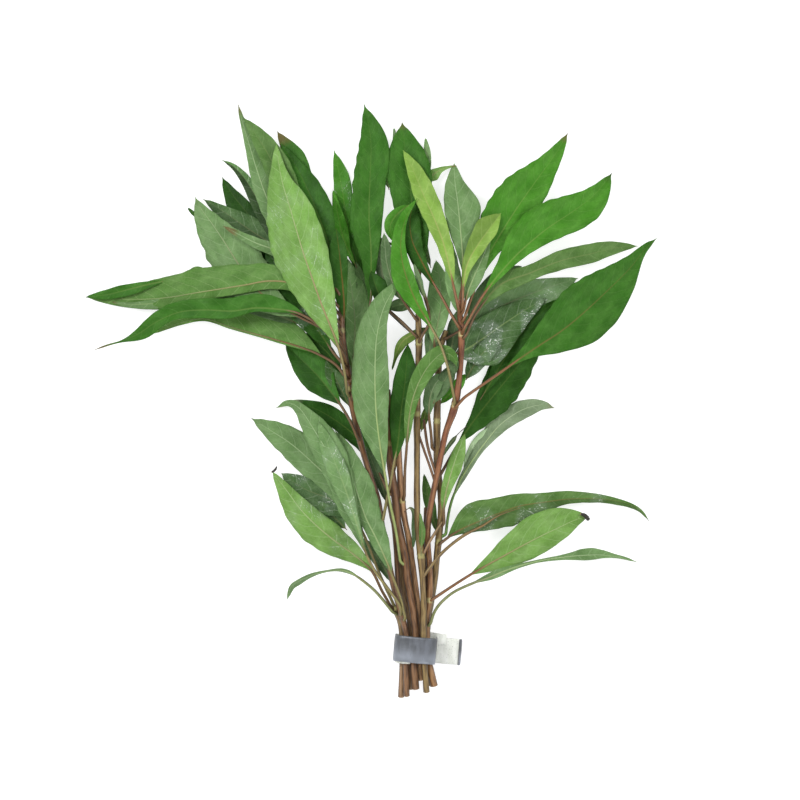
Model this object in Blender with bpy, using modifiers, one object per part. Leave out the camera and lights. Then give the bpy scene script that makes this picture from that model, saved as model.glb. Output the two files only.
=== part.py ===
"""A bunch of cut hygrophila stems held by a soft metal strip, lying on a table.

Run with: blender --background --python part.py, or from Blender's text editor.

Frame: metres, +Z up from the table, +X right and +Y up in the photograph, which looks straight down.
The origin is the middle of the strip's underside, on the table.
Stems and leaves are traced on the photograph, so their routes are pixel coordinates of it. Sizes
across a route, heights and thicknesses are millimetres.
"""

from dataclasses import dataclass

import bpy
import numpy as np

MM = 0.001

# The photograph's scale and the place that it was taken from
MM_PER_PIXEL = 0.4
ORIGIN_PIXEL = (415.0, 648.0)
CENTRE_PIXEL = (400.0, 400.0)
CAMERA_HEIGHT = 1200.0

# Room left between neighbours, and the table's own height
SIDE_GAP = 0.35
LAYER_GAP = 0.5
TABLE = 0.0

# Leaf sections
PETIOLE_RADIUS = 0.7
BLADE_HALF_THICKNESS = 0.4
TIP_HALF_WIDTH = 0.35
STATIONS = 16
BASE_SHARE = 0.25
STALK_TO_BLADE = 0.15
STEEPEST = 0.6
LAYING_PASSES = 4

# Stem tubes: length of a piece, and steps round a quarter of the section
STEM_STEP = 8.5
STEM_ROUNDNESS = 2

# The strip
STRIP_WIDTH = 10.4
STRIP_THICKNESS = 0.8
STRIP_TURN = -5.0
STRIP_PROFILE = [
    (17.6, 2.3), (18.2, 1.5), (17.9, 0.8), (16.9, 0.4), (9.5, 0.4), (2.0, 0.4), (-5.4, 0.4),
    (-7.0, 0.8), (-7.9, 1.8), (-8.1, 3.2), (-8.1, 5.2), (-7.6, 6.9), (-6.3, 8.1), (-4.4, 8.9),
    (-1.0, 9.8), (3.0, 10.4), (5.4, 10.4), (7.0, 9.8), (7.9, 8.7), (8.1, 7.0), (8.1, 4.4), (8.2, 1.9),
]

# Points taken on a span of a route, along a whole route, and over the surfaces that are laid
SPAN_POINTS = 24
ROUTE_POINTS = 600
WIDTH_POINTS = 200
LEAF_ALONG = 17
LEAF_ACROSS = 25
TUBE_ACROSS = 21

# Height map of what has been laid so far
MAP_CELL = 0.5
MAP_LOW = (-150.0, -50.0)
MAP_SIZE = (520, 580)


@dataclass(frozen=True)
class Stem:
    """A stem: points of its axis as pixel x, pixel y, height and, where it differs, radius."""

    name: str
    radius: float
    colour: tuple
    axis: tuple


@dataclass(frozen=True)
class Leaf:
    """A leaf with its stalk, traced along its midrib from the stem to the tip.

    petiole is the stalk's share of the route. left and right are half widths seen from above, at even
    steps along the blade. fold lifts both edges, roll turns the blade about its midrib, both as slopes.
    arch and tip are heights, and sag says how soon the leaf comes down from its stem.
    """

    name: str
    stem: str
    colour: tuple
    petiole: float
    midrib: tuple
    left: tuple
    right: tuple
    fold: float = 0.12
    roll: float = 0.0
    arch: float = 2.0
    tip: float = 0.0
    sag: float = 1.5


DARK = (0.03, 0.12, 0.02)
MID = (0.07, 0.22, 0.03)
BRIGHT = (0.13, 0.36, 0.04)
YOUNG = (0.36, 0.52, 0.12)
PALE = (0.30, 0.42, 0.18)
GREY = (0.25, 0.32, 0.22)
BROWN = (0.26, 0.12, 0.06)
RED = (0.28, 0.08, 0.05)
TAN = (0.34, 0.22, 0.10)
METAL = (0.20, 0.21, 0.23)

STEMS = (
    Stem("stem_1", 1.15, TAN,
         axis=((401, 697, 2.4), (402.5, 662, 2.5), (402, 648, 2.5), (402, 634, 2.5), (399.5, 620, 3.2),
               (394, 607, 4.6, 1.5))),
    Stem("stem_2", 1.3, RED,
         axis=((406.5, 696, 4.6), (406, 662, 4.95), (406, 648, 4.95), (406, 634, 5.0), (403, 620, 5.6),
               (398, 602, 6.9), (393.5, 585, 7.6), (388.5, 563, 8.0), (384, 540, 8.2), (381, 520, 8.4),
               (378, 500, 8.7), (371, 478, 9.1), (362, 448, 9.7), (354, 415, 10.4),
               (350, 388, 11.2, 1.8), (345, 355, 12.2), (341.5, 330, 13.0, 1.7),
               (341.5, 305, 13.6, 1.2), (340.5, 270, 14.4, 0.9))),
    Stem("stem_3", 1.1, TAN,
         axis=((411, 689, 2.4), (410, 662, 2.5), (410.5, 648, 2.5), (411, 634, 2.5), (408, 612, 2.6),
               (403, 590, 2.9), (400, 565, 3.4), (397.5, 540, 3.9), (393, 520, 4.3),
               (388.5, 500, 4.7, 0.9))),
    Stem("stem_4", 1.5, RED,
         axis=((415.5, 689, 5.0), (414, 662, 5.2), (415, 648, 5.2), (416, 634, 5.2), (414.5, 620, 5.5),
               (411.5, 600, 6.2), (407.5, 580, 6.8), (405.5, 560, 7.4), (401.5, 540, 8.0),
               (397.5, 520, 8.6), (395.5, 500, 9.1), (392.5, 478, 9.5), (390, 460, 9.8),
               (389.5, 443, 10.1, 1.7), (389, 415, 10.5), (388, 390, 10.9, 1.0))),
    Stem("stem_5", 1.2, BROWN,
         axis=((420.5, 680, 2.4), (419, 662, 2.5), (419.5, 648, 2.5), (420, 634, 2.5), (419, 620, 2.6),
               (417, 600, 3.0), (414.5, 580, 3.6), (412, 560, 4.4), (409, 540, 5.2), (404.8, 520, 6.0),
               (401.8, 500, 6.8, 1.6), (400, 475, 7.6, 1.35), (399, 447, 8.6, 1.0))),
    Stem("stem_6", 1.4, BROWN,
         axis=((426.5, 692, 6.5), (424.5, 662, 8.0), (424, 648, 8.1), (423.5, 634, 8.3),
               (423.7, 615, 8.4), (423.5, 600, 8.6), (422.5, 580, 8.7), (421, 555, 8.8, 2.0),
               (418, 530, 8.8), (417, 500, 9.0), (417, 470, 9.2), (417, 440, 9.5),
               (417, 414, 9.8, 1.8), (418, 380, 10.3), (419, 342, 11.0, 1.8), (418, 314, 11.6, 1.0))),
    Stem("stem_7", 1.3, RED,
         axis=((434, 686, 5.2, 1.6), (429, 662, 5.4), (428, 648, 5.5), (427, 634, 5.55),
               (427.5, 615, 5.8), (429.5, 600, 6.0, 1.5), (430, 580, 6.3), (429, 560, 6.6),
               (427.5, 540, 6.9), (428.5, 520, 7.6), (432.5, 497, 8.8), (437, 475, 10.0),
               (441, 455, 10.8), (446, 432, 11.6), (455, 405, 13.0, 1.9), (460, 370, 14.6),
               (461.5, 335, 16.2, 1.8), (460, 315, 17.0, 1.3), (459.5, 300, 17.5, 0.9))),
    Stem("stem_8", 1.25, BROWN,
         axis=((430.5, 685, 2.4), (427, 662, 2.5), (427, 648, 2.5), (427, 634, 2.5), (428.5, 615, 2.6),
               (431.5, 600, 2.9), (434.5, 580, 3.6), (436.5, 560, 4.6), (438.5, 541, 6.0, 1.6),
               (440.5, 520, 6.4), (441, 500, 6.2), (439.5, 482, 5.9), (437.5, 465, 6.2, 1.4),
               (437, 445, 7.0, 1.45), (437, 420, 8.0, 1.75), (438, 385, 9.0), (440, 350, 10.2, 1.6),
               (446, 331, 11.0, 1.0))),
)

# Leaves that lie on the table, under the stems, from the lowest up
LOW_LEAVES = (
    Leaf("leaf_right_1", "stem_8", PALE, 0.18,
         midrib=((446, 533), (448, 517), (452, 500), (460.5, 480), (472, 461), (485, 443), (500, 425),
                 (520, 411), (540, 405), (555, 408)),
         left=(1.2, 2.4, 4.4, 3.6), right=(1.6, 1.6, 3.2, 3.6), fold=-0.08, arch=0.5, sag=5.0),
    Leaf("leaf_right_2", "stem_8", DARK, 0.18,
         midrib=((441, 474), (455, 449), (470, 426), (490, 400), (513, 372), (533, 348), (548, 328)),
         left=(2.2, 6.4, 9.0, 6.4), right=(4.6, 7.6, 7.2, 4.0), arch=0.5, sag=5.0),
    Leaf("leaf_right_3", "stem_8", GREY, 0.1,
         midrib=((447, 338), (466, 327), (490, 312), (520, 298), (550, 287), (578, 278)),
         left=(5.6, 7.2, 6.0, 3.4), right=(4.0, 6.0, 7.2, 5.6), arch=0.5, sag=5.0),
    Leaf("leaf_right_4", "stem_8", DARK, 0.1,
         midrib=((444, 357), (465, 350), (485, 337), (505, 323), (525, 310), (546, 298)),
         left=(7.0, 7.6, 6.4, 4.0), right=(10.5, 10.5, 7.4, 4.2), arch=0.5, sag=5.0),
    Leaf("leaf_top_1", "stem_2", BRIGHT, 0.42,
         midrib=((353, 384), (362, 345), (364, 305), (359, 275), (352, 248), (346, 218), (342, 188),
                 (334, 150)),
         left=(2.0, 3.0, 3.8, 2.6), right=(1.6, 2.4, 3.6, 3.8), arch=0.5, sag=5.0),
    Leaf("leaf_top_2", "stem_2", PALE, 0.08,
         midrib=((353, 376), (354, 350), (355, 325), (353, 300), (349, 275), (345, 256)),
         left=(2.8, 3.2, 3.0, 2.0), right=(3.6, 5.0, 5.2, 3.6), fold=-0.08, arch=0.5, sag=6.0),
    Leaf("leaf_left_1", "stem_4", DARK, 0.12,
         midrib=((388, 492), (378, 470), (366, 449), (352, 433), (335, 420), (318, 410), (300, 404),
                 (287, 404), (276, 408)),
         left=(2.4, 3.6, 2.8, 1.6), right=(2.4, 3.8, 4.2, 2.0), arch=0.5, sag=5.0),
)

# Leaves laid over the stems, from the lowest up
HIGH_LEAVES = (
    # Lower left
    Leaf("leaf_left_2", "stem_2", GREY, 0.18,
         midrib=((382, 540), (368, 527), (350, 511), (330, 499), (305, 489), (281, 473)),
         left=(3.2, 6.4, 7.0, 4.4), right=(3.0, 5.0, 5.6, 4.2)),
    Leaf("leaf_left_3", "stem_1", PALE, 0.3,
         midrib=((391.5, 600), (380, 575), (364, 535), (348, 506), (330, 480), (310, 460), (290, 443),
                 (270, 430), (251, 418)),
         left=(3.0, 5.0, 6.4, 4.6), right=(3.0, 5.0, 6.4, 5.4), fold=-0.1),
    Leaf("leaf_left_4", "stem_1", BRIGHT, 0.2,
         midrib=((390, 605), (382, 591), (371, 570), (353, 554), (335, 541), (318, 527), (302, 511),
                 (287, 491), (272, 471)),
         left=(3.8, 7.0, 7.2, 4.6), right=(4.0, 5.6, 4.8, 2.8), fold=-0.12),
    Leaf("leaf_left_5", "stem_2", PALE, 0.22,
         midrib=((405, 617), (401, 600), (395, 583), (386, 560), (376, 538), (366, 518), (358, 495),
                 (350, 470), (343, 448), (335, 430)),
         left=(2.6, 2.8, 3.0, 2.2), right=(4.0, 6.4, 7.0, 4.6), fold=-0.12),
    Leaf("leaf_left_6", "stem_1", PALE, 0.22,
         midrib=((396.5, 600), (386, 586), (373, 568), (364, 548), (355, 525), (347, 500), (338, 475),
                 (326, 450), (313, 428), (300, 409), (288, 403), (276, 408)),
         left=(2.2, 4.6, 5.0, 5.4, 4.8, 2.4), right=(2.0, 3.6, 5.4, 6.8, 5.8, 2.4), fold=-0.12),
    Leaf("leaf_left_7", "stem_1", BRIGHT, 0.32,
         midrib=((391, 610), (383, 600), (374, 590), (362, 580), (351, 573), (340, 570), (327, 571),
                 (312, 575), (299, 581), (291, 587), (287, 600)),
         left=(0.9, 0.5, 1.0, 1.7), right=(0.9, 0.5, 0.9, 0.8), fold=0.0, roll=2.2, arch=5.0, tip=4.0),
    # Upper left, from the table up
    Leaf("leaf_left_8", "stem_2", MID, 0.15,
         midrib=((337.5, 284), (325, 255), (315, 220), (305, 190), (293, 160), (277, 131)),
         left=(3.0, 4.4, 5.0, 3.4), right=(3.0, 4.4, 5.0, 4.8)),
    Leaf("leaf_left_9", "stem_2", DARK, 0.08,
         midrib=((337.5, 276), (331, 252), (322, 225), (310, 195), (297, 168), (281, 143)),
         left=(3.0, 5.0, 5.6, 4.4), right=(3.8, 6.2, 5.6, 2.8)),
    Leaf("leaf_left_10", "stem_2", DARK, 0.25,
         midrib=((337, 320), (318, 298), (298, 272), (280, 250), (260, 228), (243, 208), (232, 194),
                 (222, 177)),
         left=(4.0, 6.4, 7.0, 4.6), right=(3.0, 4.0, 4.2, 3.0)),
    Leaf("leaf_left_11", "stem_2", GREY, 0.32,
         midrib=((337, 327), (318, 296), (298, 262), (275, 246), (250, 230), (230, 216), (215, 206),
                 (203, 199)),
         left=(3.0, 3.2, 3.6, 3.4), right=(5.6, 6.4, 5.2, 2.6)),
    Leaf("leaf_left_12", "stem_2", DARK, 0.25,
         midrib=((338, 313), (320, 290), (302, 266), (285, 243), (268, 218), (255, 195), (245, 179),
                 (234, 167), (222, 160)),
         left=(3.0, 3.8, 3.4, 2.0), right=(3.0, 3.6, 3.2, 2.0)),
    Leaf("leaf_left_13", "stem_2", PALE, 0.2,
         midrib=((338, 299), (322, 282), (302, 258), (284, 230), (268, 200), (257, 170), (248, 140),
                 (242, 120), (238, 104)),
         left=(4.0, 4.4, 3.2, 1.6), right=(4.0, 5.0, 4.8, 2.0), fold=-0.1),
    Leaf("leaf_left_14", "stem_2", MID, 0.2,
         midrib=((338, 292), (325, 272), (308, 243), (292, 208), (280, 178), (268, 154), (256, 135),
                 (243, 117)),
         left=(3.0, 4.4, 4.4, 3.2), right=(3.0, 5.4, 6.2, 4.6)),
    Leaf("leaf_left_15", "stem_2", DARK, 0.3,
         midrib=((357, 437), (350, 421), (340, 404), (330, 391), (318, 376), (302, 360), (285, 344)),
         left=(4.0, 6.6, 6.4, 4.0), right=(3.0, 6.0, 7.0, 4.4), fold=0.16),
    Leaf("leaf_left_16", "stem_2", GREY, 0.15,
         midrib=((345, 376), (335, 364), (318, 354), (300, 347), (280, 341), (255, 334), (230, 327),
                 (205, 319), (180, 323), (152, 334)),
         left=(1.0, 0.8, 0.8, 1.0), right=(8.4, 8.6, 6.0, 3.2), fold=-0.06),
    Leaf("leaf_left_17", "stem_2", DARK, 0.12,
         midrib=((343, 364), (333, 352), (320, 333), (305, 312), (292, 290), (280, 270), (265, 249)),
         left=(3.8, 5.6, 6.0, 5.2), right=(3.6, 5.6, 6.0, 4.6)),
    Leaf("leaf_left_18", "stem_2", PALE, 0.2,
         midrib=((337.5, 335), (302, 318), (272, 302), (252, 284), (237, 262), (225, 243), (213, 225),
                 (202, 210), (195, 197)),
         left=(5.0, 8.6, 9.4, 7.2), right=(5.0, 9.6, 9.0, 4.4), fold=-0.1),
    Leaf("leaf_left_19", "stem_2", PALE, 0.14,
         midrib=((339, 342), (318, 306), (295, 285), (270, 281), (245, 285), (220, 289), (195, 293),
                 (172, 297), (150, 299), (118, 299), (85, 297)),
         left=(3.0, 3.2, 3.2, 3.4, 4.2, 3.0), right=(4.8, 7.4, 9.2, 9.2, 7.6, 4.6), fold=-0.06),
    Leaf("leaf_left_20", "stem_2", BRIGHT, 0.18,
         midrib=((340, 349), (320, 326), (298, 313), (275, 309), (255, 308), (232, 311), (205, 310),
                 (180, 312), (158, 321), (138, 334), (122, 341), (108, 345), (94, 350)),
         left=(1.4, 1.6, 3.2, 3.2, 2.4, 3.4, 0.5), right=(4.6, 5.6, 5.0, 4.4, 4.2, 2.6, 0.4), fold=0.08),
    Leaf("leaf_left_21", "stem_2", YOUNG, 0.3,
         midrib=((338, 306), (318, 284), (298, 264), (277, 251), (256, 243), (238, 234), (223, 226)),
         left=(2.2, 2.6, 2.2, 1.5), right=(2.2, 2.6, 2.2, 1.5), fold=0.4),
    Leaf("leaf_left_22", "stem_2", PALE, 0.17,
         midrib=((347, 392), (344, 370), (338, 346), (330, 325), (321, 303), (311, 275), (304, 255),
                 (297, 232), (290, 208), (283, 185), (279, 165), (276, 143)),
         left=(4.6, 8.6, 11.2, 11.6, 9.0, 4.4), right=(3.8, 7.2, 9.2, 9.8, 7.6, 3.0), fold=-0.1),
    # Top
    Leaf("leaf_top_3", "stem_2", MID, 0.28,
         midrib=((354, 388), (362, 345), (370, 305), (371, 275), (371, 250), (369, 215), (370, 180),
                 (371, 145), (368, 122), (364, 104)),
         left=(3.4, 7.4, 6.8, 4.8), right=(2.0, 5.0, 6.4, 7.0), fold=0.1),
    Leaf("leaf_top_4", "stem_6", DARK, 0.4,
         midrib=((414, 334), (402, 322), (388, 309), (380, 296), (375, 284), (371, 271)),
         left=(1.8, 2.4, 2.4, 2.0), right=(2.6, 4.8, 5.4, 3.2)),
    Leaf("leaf_top_5", "stem_6", GREY, 0.22,
         midrib=((415, 318), (404, 302), (394, 286), (387, 264), (385, 246), (384, 233)),
         left=(2.0, 2.4, 2.2, 1.8), right=(2.0, 3.0, 3.0, 2.4)),
    Leaf("leaf_top_7", "stem_8", PALE, 0.08,
         midrib=((435.5, 353), (434.5, 340), (438, 322), (441, 304), (440, 282), (436, 260)),
         left=(2.6, 4.4, 5.0, 3.6), right=(2.6, 3.6, 3.8, 3.0), fold=-0.08),
    Leaf("leaf_top_6", "stem_6", BRIGHT, 0.28,
         midrib=((422, 336), (429, 322), (427, 303), (421, 283), (418, 260), (415, 235), (412, 205),
                 (409, 175), (405, 148), (402, 122)),
         left=(4.6, 6.4, 7.0, 5.2), right=(4.6, 7.0, 9.0, 7.4), fold=0.1),
    Leaf("leaf_right_5", "stem_7", MID, 0.14,
         midrib=((466, 335), (477, 312), (500, 285), (530, 273), (560, 261), (590, 254), (615, 248),
                 (638, 246)),
         left=(3.8, 3.2, 4.2, 3.6), right=(3.8, 3.0, 3.8, 3.2), fold=0.06),
    Leaf("leaf_right_6", "stem_7", BRIGHT, 0.16,
         midrib=((464.5, 318), (473, 293), (485, 262), (500, 235), (517, 208), (536, 181), (554, 156),
                 (568, 133)),
         left=(6.5, 11.0, 9.8, 4.4), right=(3.0, 6.4, 7.2, 4.4)),
    Leaf("leaf_right_7", "stem_7", BRIGHT, 0.16,
         midrib=((465.5, 326), (478, 303), (492, 283), (508, 264), (525, 247), (548, 228), (575, 210),
                 (595, 194), (612, 173)),
         left=(3.8, 9.6, 9.2, 4.6), right=(2.0, 3.8, 6.8, 7.6), fold=0.1),
    Leaf("leaf_right_8", "stem_7", BRIGHT, 0.22,
         midrib=((458.5, 404), (464, 398), (470, 393.5), (480, 386.5), (490, 379.5), (503, 370.5),
                 (520, 358.5), (540, 345), (560, 332), (580, 316), (605, 293), (630, 268), (645, 249),
                 (657, 238)),
         left=(3.4, 8.0, 11.4, 11.0, 7.4, 3.4), right=(2.4, 7.2, 11.4, 11.4, 7.8, 2.4), fold=0.1),
    Leaf("leaf_top_8", "stem_7", PALE, 0.16,
         midrib=((460.5, 295), (462.5, 284), (463, 262), (461, 235), (458, 205), (455, 182),
                 (454, 163)),
         left=(2.4, 4.6, 5.6, 4.2), right=(3.0, 7.2, 8.8, 4.4), fold=-0.1),
    Leaf("leaf_right_9", "stem_7", GREY, 0.1,
         midrib=((463.5, 310), (467, 295), (473, 279), (480, 263), (486, 249), (490, 236)),
         left=(2.0, 2.8, 2.6, 2.0), right=(2.4, 3.4, 2.8, 1.6), fold=-0.06),
    Leaf("leaf_right_10", "stem_7", YOUNG, 0.12,
         midrib=((462.5, 303), (463.5, 285), (467, 265), (477, 246), (490, 228), (501, 213)),
         left=(1.2, 2.8, 4.4, 5.4), right=(1.6, 3.0, 3.4, 3.2), fold=0.2),
    Leaf("leaf_top_9", "stem_7", DARK, 0.3,
         midrib=((457.5, 325), (450, 312), (440, 294), (430, 277), (420, 258), (412, 240), (410, 220),
                 (414, 201)),
         left=(1.8, 3.2, 2.6, 1.6), right=(1.2, 2.6, 4.0, 4.2)),
    Leaf("leaf_top_10", "stem_7", YOUNG, 0.1,
         midrib=((457, 302), (453.5, 286), (449, 265), (443, 242), (434, 218), (424, 196), (414, 172),
                 (403, 150)),
         left=(2.2, 3.4, 4.0, 3.0), right=(2.8, 3.8, 4.8, 4.0), fold=0.25),
    # Middle
    Leaf("leaf_middle_2", "stem_2", DARK, 0.3,
         midrib=((384, 514), (388, 494), (393, 468), (398, 442), (401, 412), (405, 382), (408, 343)),
         left=(3.0, 4.4, 4.8, 3.6), right=(2.4, 3.6, 4.4, 3.8), arch=5.0),
    Leaf("leaf_middle_1", "stem_4", PALE, 0.3,
         midrib=((400, 560), (396, 532), (390, 503), (385, 475), (380, 445), (376, 410), (375, 370),
                 (377, 335), (385, 305), (402, 277)),
         left=(4.4, 8.0, 9.2, 8.8, 7.6, 4.6), right=(3.2, 4.6, 5.6, 5.0, 3.6, 2.0), fold=-0.1, arch=5.0),
    Leaf("leaf_middle_4", "stem_8", GREY, 0.38,
         midrib=((432, 447), (431, 433), (429, 415), (430, 398), (436, 383), (447, 374)),
         left=(2.2, 2.8, 3.0, 2.6), right=(1.8, 2.6, 3.0, 2.6)),
    Leaf("leaf_middle_3", "stem_5", PALE, 0.26,
         midrib=((404.5, 495), (405, 470), (406.5, 450), (408, 430), (410, 412), (414, 395),
                 (421, 378), (431, 363), (443, 353), (453, 357), (457, 367)),
         left=(1.8, 2.8, 3.8, 3.6), right=(1.6, 2.4, 3.4, 3.6), arch=5.0),
    Leaf("leaf_middle_5", "stem_7", BRIGHT, 0.34,
         midrib=((454.5, 400), (451, 381), (447, 364), (441, 346), (430, 325), (417, 303), (408, 282),
                 (402, 260), (401, 240), (406, 218), (417, 198)),
         left=(3.0, 5.6, 4.0, 3.0), right=(2.4, 3.2, 2.2, 1.0)),
    # Lower right
    Leaf("leaf_right_11", "stem_8", PALE, 0.1,
         midrib=((444, 522), (444, 505), (447, 488), (452, 470), (458, 452), (465, 434)),
         left=(1.8, 2.4, 2.4, 2.0), right=(1.4, 2.8, 3.6, 2.8), fold=-0.1),
    Leaf("leaf_right_12", "stem_8", MID, 0.03,
         midrib=((442, 542), (453, 534), (466, 527), (480, 521), (500, 513), (520, 506), (545, 502),
                 (570, 499), (600, 499), (625, 503), (640, 510), (649, 521)),
         left=(8.0, 6.2, 4.2, 3.4, 2.2, 0.9), right=(3.6, 6.4, 5.6, 2.2, 1.6, 1.4), fold=0.08),
    Leaf("leaf_right_13", "stem_7", BRIGHT, 0.24,
         midrib=((434.5, 598), (442, 593), (451, 587), (465, 578), (480, 569), (500, 558), (520, 547),
                 (541, 536), (560, 527), (575, 520), (589, 516)),
         left=(3.6, 7.0, 9.2, 7.4), right=(3.8, 6.2, 6.4, 4.6), fold=-0.1),
    Leaf("leaf_right_14", "stem_7", PALE, 0.25,
         midrib=((431, 622), (434, 613), (439, 605), (446, 598), (454, 592), (464, 587), (476, 582),
                 (490, 577), (510, 569), (530, 563), (550, 559), (575, 556), (600, 555), (622, 558),
                 (637, 562)),
         left=(1.8, 1.0, 0.6, 1.1, 2.8, 1.2), right=(1.4, 0.9, 0.6, 1.2, 2.0, 0.6), fold=-0.05, roll=0.5),
)


def table_point(pixel, height):
    """Return x and y in millimetres of a pixel's sight line at a height above the table."""
    scale = MM_PER_PIXEL * (1.0 - height / CAMERA_HEIGHT)
    x = (CENTRE_PIXEL[0] - ORIGIN_PIXEL[0]) * MM_PER_PIXEL + (pixel[0] - CENTRE_PIXEL[0]) * scale
    y = (ORIGIN_PIXEL[1] - CENTRE_PIXEL[1]) * MM_PER_PIXEL - (pixel[1] - CENTRE_PIXEL[1]) * scale
    return x, y


def smooth_route(points, count):
    """Return count points, evenly spaced, of a smooth curve through the given points."""
    points = np.asarray(points, float)
    first = 2.0 * points[0] - points[1]
    last = 2.0 * points[-1] - points[-2]
    padded = np.vstack([first, points, last])
    pieces = []
    for i in range(len(points) - 1):
        p0, p1, p2, p3 = padded[i : i + 4]
        t = np.linspace(0.0, 1.0, SPAN_POINTS, endpoint=False)[:, None]
        pieces.append(
            0.5 * (2 * p1 + (p2 - p0) * t + (2 * p0 - 5 * p1 + 4 * p2 - p3) * t**2
                   + (3 * p1 - p0 - 3 * p2 + p3) * t**3)
        )
    dense = np.vstack(pieces + [points[-1:]])
    steps = np.linalg.norm(np.diff(dense[:, :2], axis=0), axis=1)
    along = np.concatenate([[0.0], np.cumsum(steps)])
    wanted = np.linspace(0.0, along[-1], count)
    return np.column_stack([np.interp(wanted, along, dense[:, k]) for k in range(dense.shape[1])])


def stem_axis(stem):
    """Return the stem's axis as rows of x, y, height and radius, in millimetres."""
    rows = []
    for point in stem.axis:
        radius = point[3] if len(point) > 3 else stem.radius
        x, y = table_point(point, point[2])
        rows.append((x, y, point[2], radius))
    rows = np.array(rows)
    length = np.linalg.norm(np.diff(rows[:, :2], axis=0), axis=1).sum()
    return smooth_route(rows, max(6, int(round(length / STEM_STEP)) + 1))


def blade_width(values, petiole, share):
    """Return a half width for each share of the route, from the blade's widths at even steps."""
    steps = np.linspace(0.0, 1.0, len(values) + 2)
    knots = np.concatenate([[PETIOLE_RADIUS], values, [TIP_HALF_WIDTH]])
    blade = np.clip((share - petiole) / (1.0 - petiole), 0.0, 1.0)
    curve = smooth_route(np.column_stack([steps, knots]), WIDTH_POINTS)
    return np.maximum(np.interp(blade, curve[:, 0], curve[:, 1]), TIP_HALF_WIDTH)


class HeightMap:
    """The top of what has been laid so far, as heights on a grid seen from above."""

    def __init__(self):
        self.top = np.full(MAP_SIZE, TABLE - LAYER_GAP)
        self.wide = self.top.copy()

    def cells(self, points):
        """Return the grid cells of points, as two index arrays."""
        i = ((points[..., 0] - MAP_LOW[0]) / MAP_CELL).astype(int)
        j = ((points[..., 1] - MAP_LOW[1]) / MAP_CELL).astype(int)
        return np.clip(i, 0, MAP_SIZE[0] - 1), np.clip(j, 0, MAP_SIZE[1] - 1)

    def under(self, points):
        """Return the height of what lies under points or within a cell of them."""
        return self.wide[self.cells(points)]

    def add(self, points, heights):
        """Raise the map to the given heights at points."""
        np.maximum.at(self.top, self.cells(points), heights)
        padded = np.pad(self.top, 1, mode="edge")
        shifts = [padded[a : a + MAP_SIZE[0], b : b + MAP_SIZE[1]] for a in range(3) for b in range(3)]
        self.wide = np.max(shifts, axis=0)


def tube_top(axis):
    """Return points over a tube's axis and width, and the height of its top at each."""
    dense = smooth_route(axis, ROUTE_POINTS)
    along = np.gradient(dense[:, :2], axis=0)
    along /= np.linalg.norm(along, axis=1)[:, None]
    side = np.column_stack([-along[:, 1], along[:, 0]])
    across = np.linspace(-1.0, 1.0, TUBE_ACROSS)
    plan = dense[:, None, :2] + side[:, None] * (across[:, None] * dense[:, None, 3:4])
    height = dense[:, 2:3] + dense[:, 3:4] * np.sqrt(1.0 - across**2)
    return plan, height


def sections(leaf, heights, base):
    """Return the leaf's midrib, left edge and right edge, a row a station, with its half thickness."""
    share = np.linspace(0.0, 1.0, STATIONS)
    route = smooth_route(leaf.midrib, STATIONS)
    plan = np.array([table_point(pixel, height) for pixel, height in zip(route, heights)])
    plan += (base - plan[0]) * np.clip(1.0 - share / BASE_SHARE, 0.0, 1.0)[:, None]
    along = np.gradient(plan, axis=0)
    along /= np.linalg.norm(along, axis=1)[:, None]
    side = np.column_stack([-along[:, 1], along[:, 0]])
    left = blade_width(leaf.left, leaf.petiole, share)
    right = blade_width(leaf.right, leaf.petiole, share)
    blade = np.clip((share - leaf.petiole) / STALK_TO_BLADE, 0.0, 1.0)
    thick = PETIOLE_RADIUS + (BLADE_HALF_THICKNESS - PETIOLE_RADIUS) * blade
    rise_left = blade * left * (leaf.fold - leaf.roll)
    rise_right = blade * right * (leaf.fold + leaf.roll)
    middle = np.column_stack([plan, heights])
    left_edge = np.column_stack([plan + side * left[:, None], heights + rise_left])
    right_edge = np.column_stack([plan - side * right[:, None], heights + rise_right])
    return middle, left_edge, right_edge, thick


def fine_surface(middle, left_edge, right_edge, thick):
    """Return points all over the leaf's middle surface, and the half thickness at each."""
    t = np.linspace(0.0, 1.0, LEAF_ALONG)[None, :, None]
    rib = middle[:-1, None] * (1.0 - t) + middle[1:, None] * t
    half = thick[:-1, None, None] * (1.0 - t) + thick[1:, None, None] * t
    across = np.linspace(0.0, 1.0, LEAF_ACROSS)
    points = []
    for edge in (left_edge, right_edge):
        rim = edge[:-1, None] * (1.0 - t) + edge[1:, None] * t
        points.append(rib[:, :, None] + (rim - rib)[:, :, None] * across[:, None])
    halves = half * (1.0 - across)
    return np.concatenate(points, axis=2), np.concatenate([halves, halves], axis=2)


def leaf_base(leaf, axes):
    """Return where the leaf's stalk starts, just clear of its stem's side or top: x and y, then height."""
    dense = smooth_route(axes[leaf.stem], ROUTE_POINTS)
    wanted = np.array([table_point(leaf.midrib[0], height) for height in dense[:, 2]])
    distance = np.linalg.norm(dense[:, :2] - wanted, axis=1)
    k = int(distance.argmin())
    reach = dense[k, 3] + PETIOLE_RADIUS + SIDE_GAP
    return wanted[k], dense[k, 2] + np.sqrt(max(reach**2 - distance[k] ** 2, 0.0))


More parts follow.
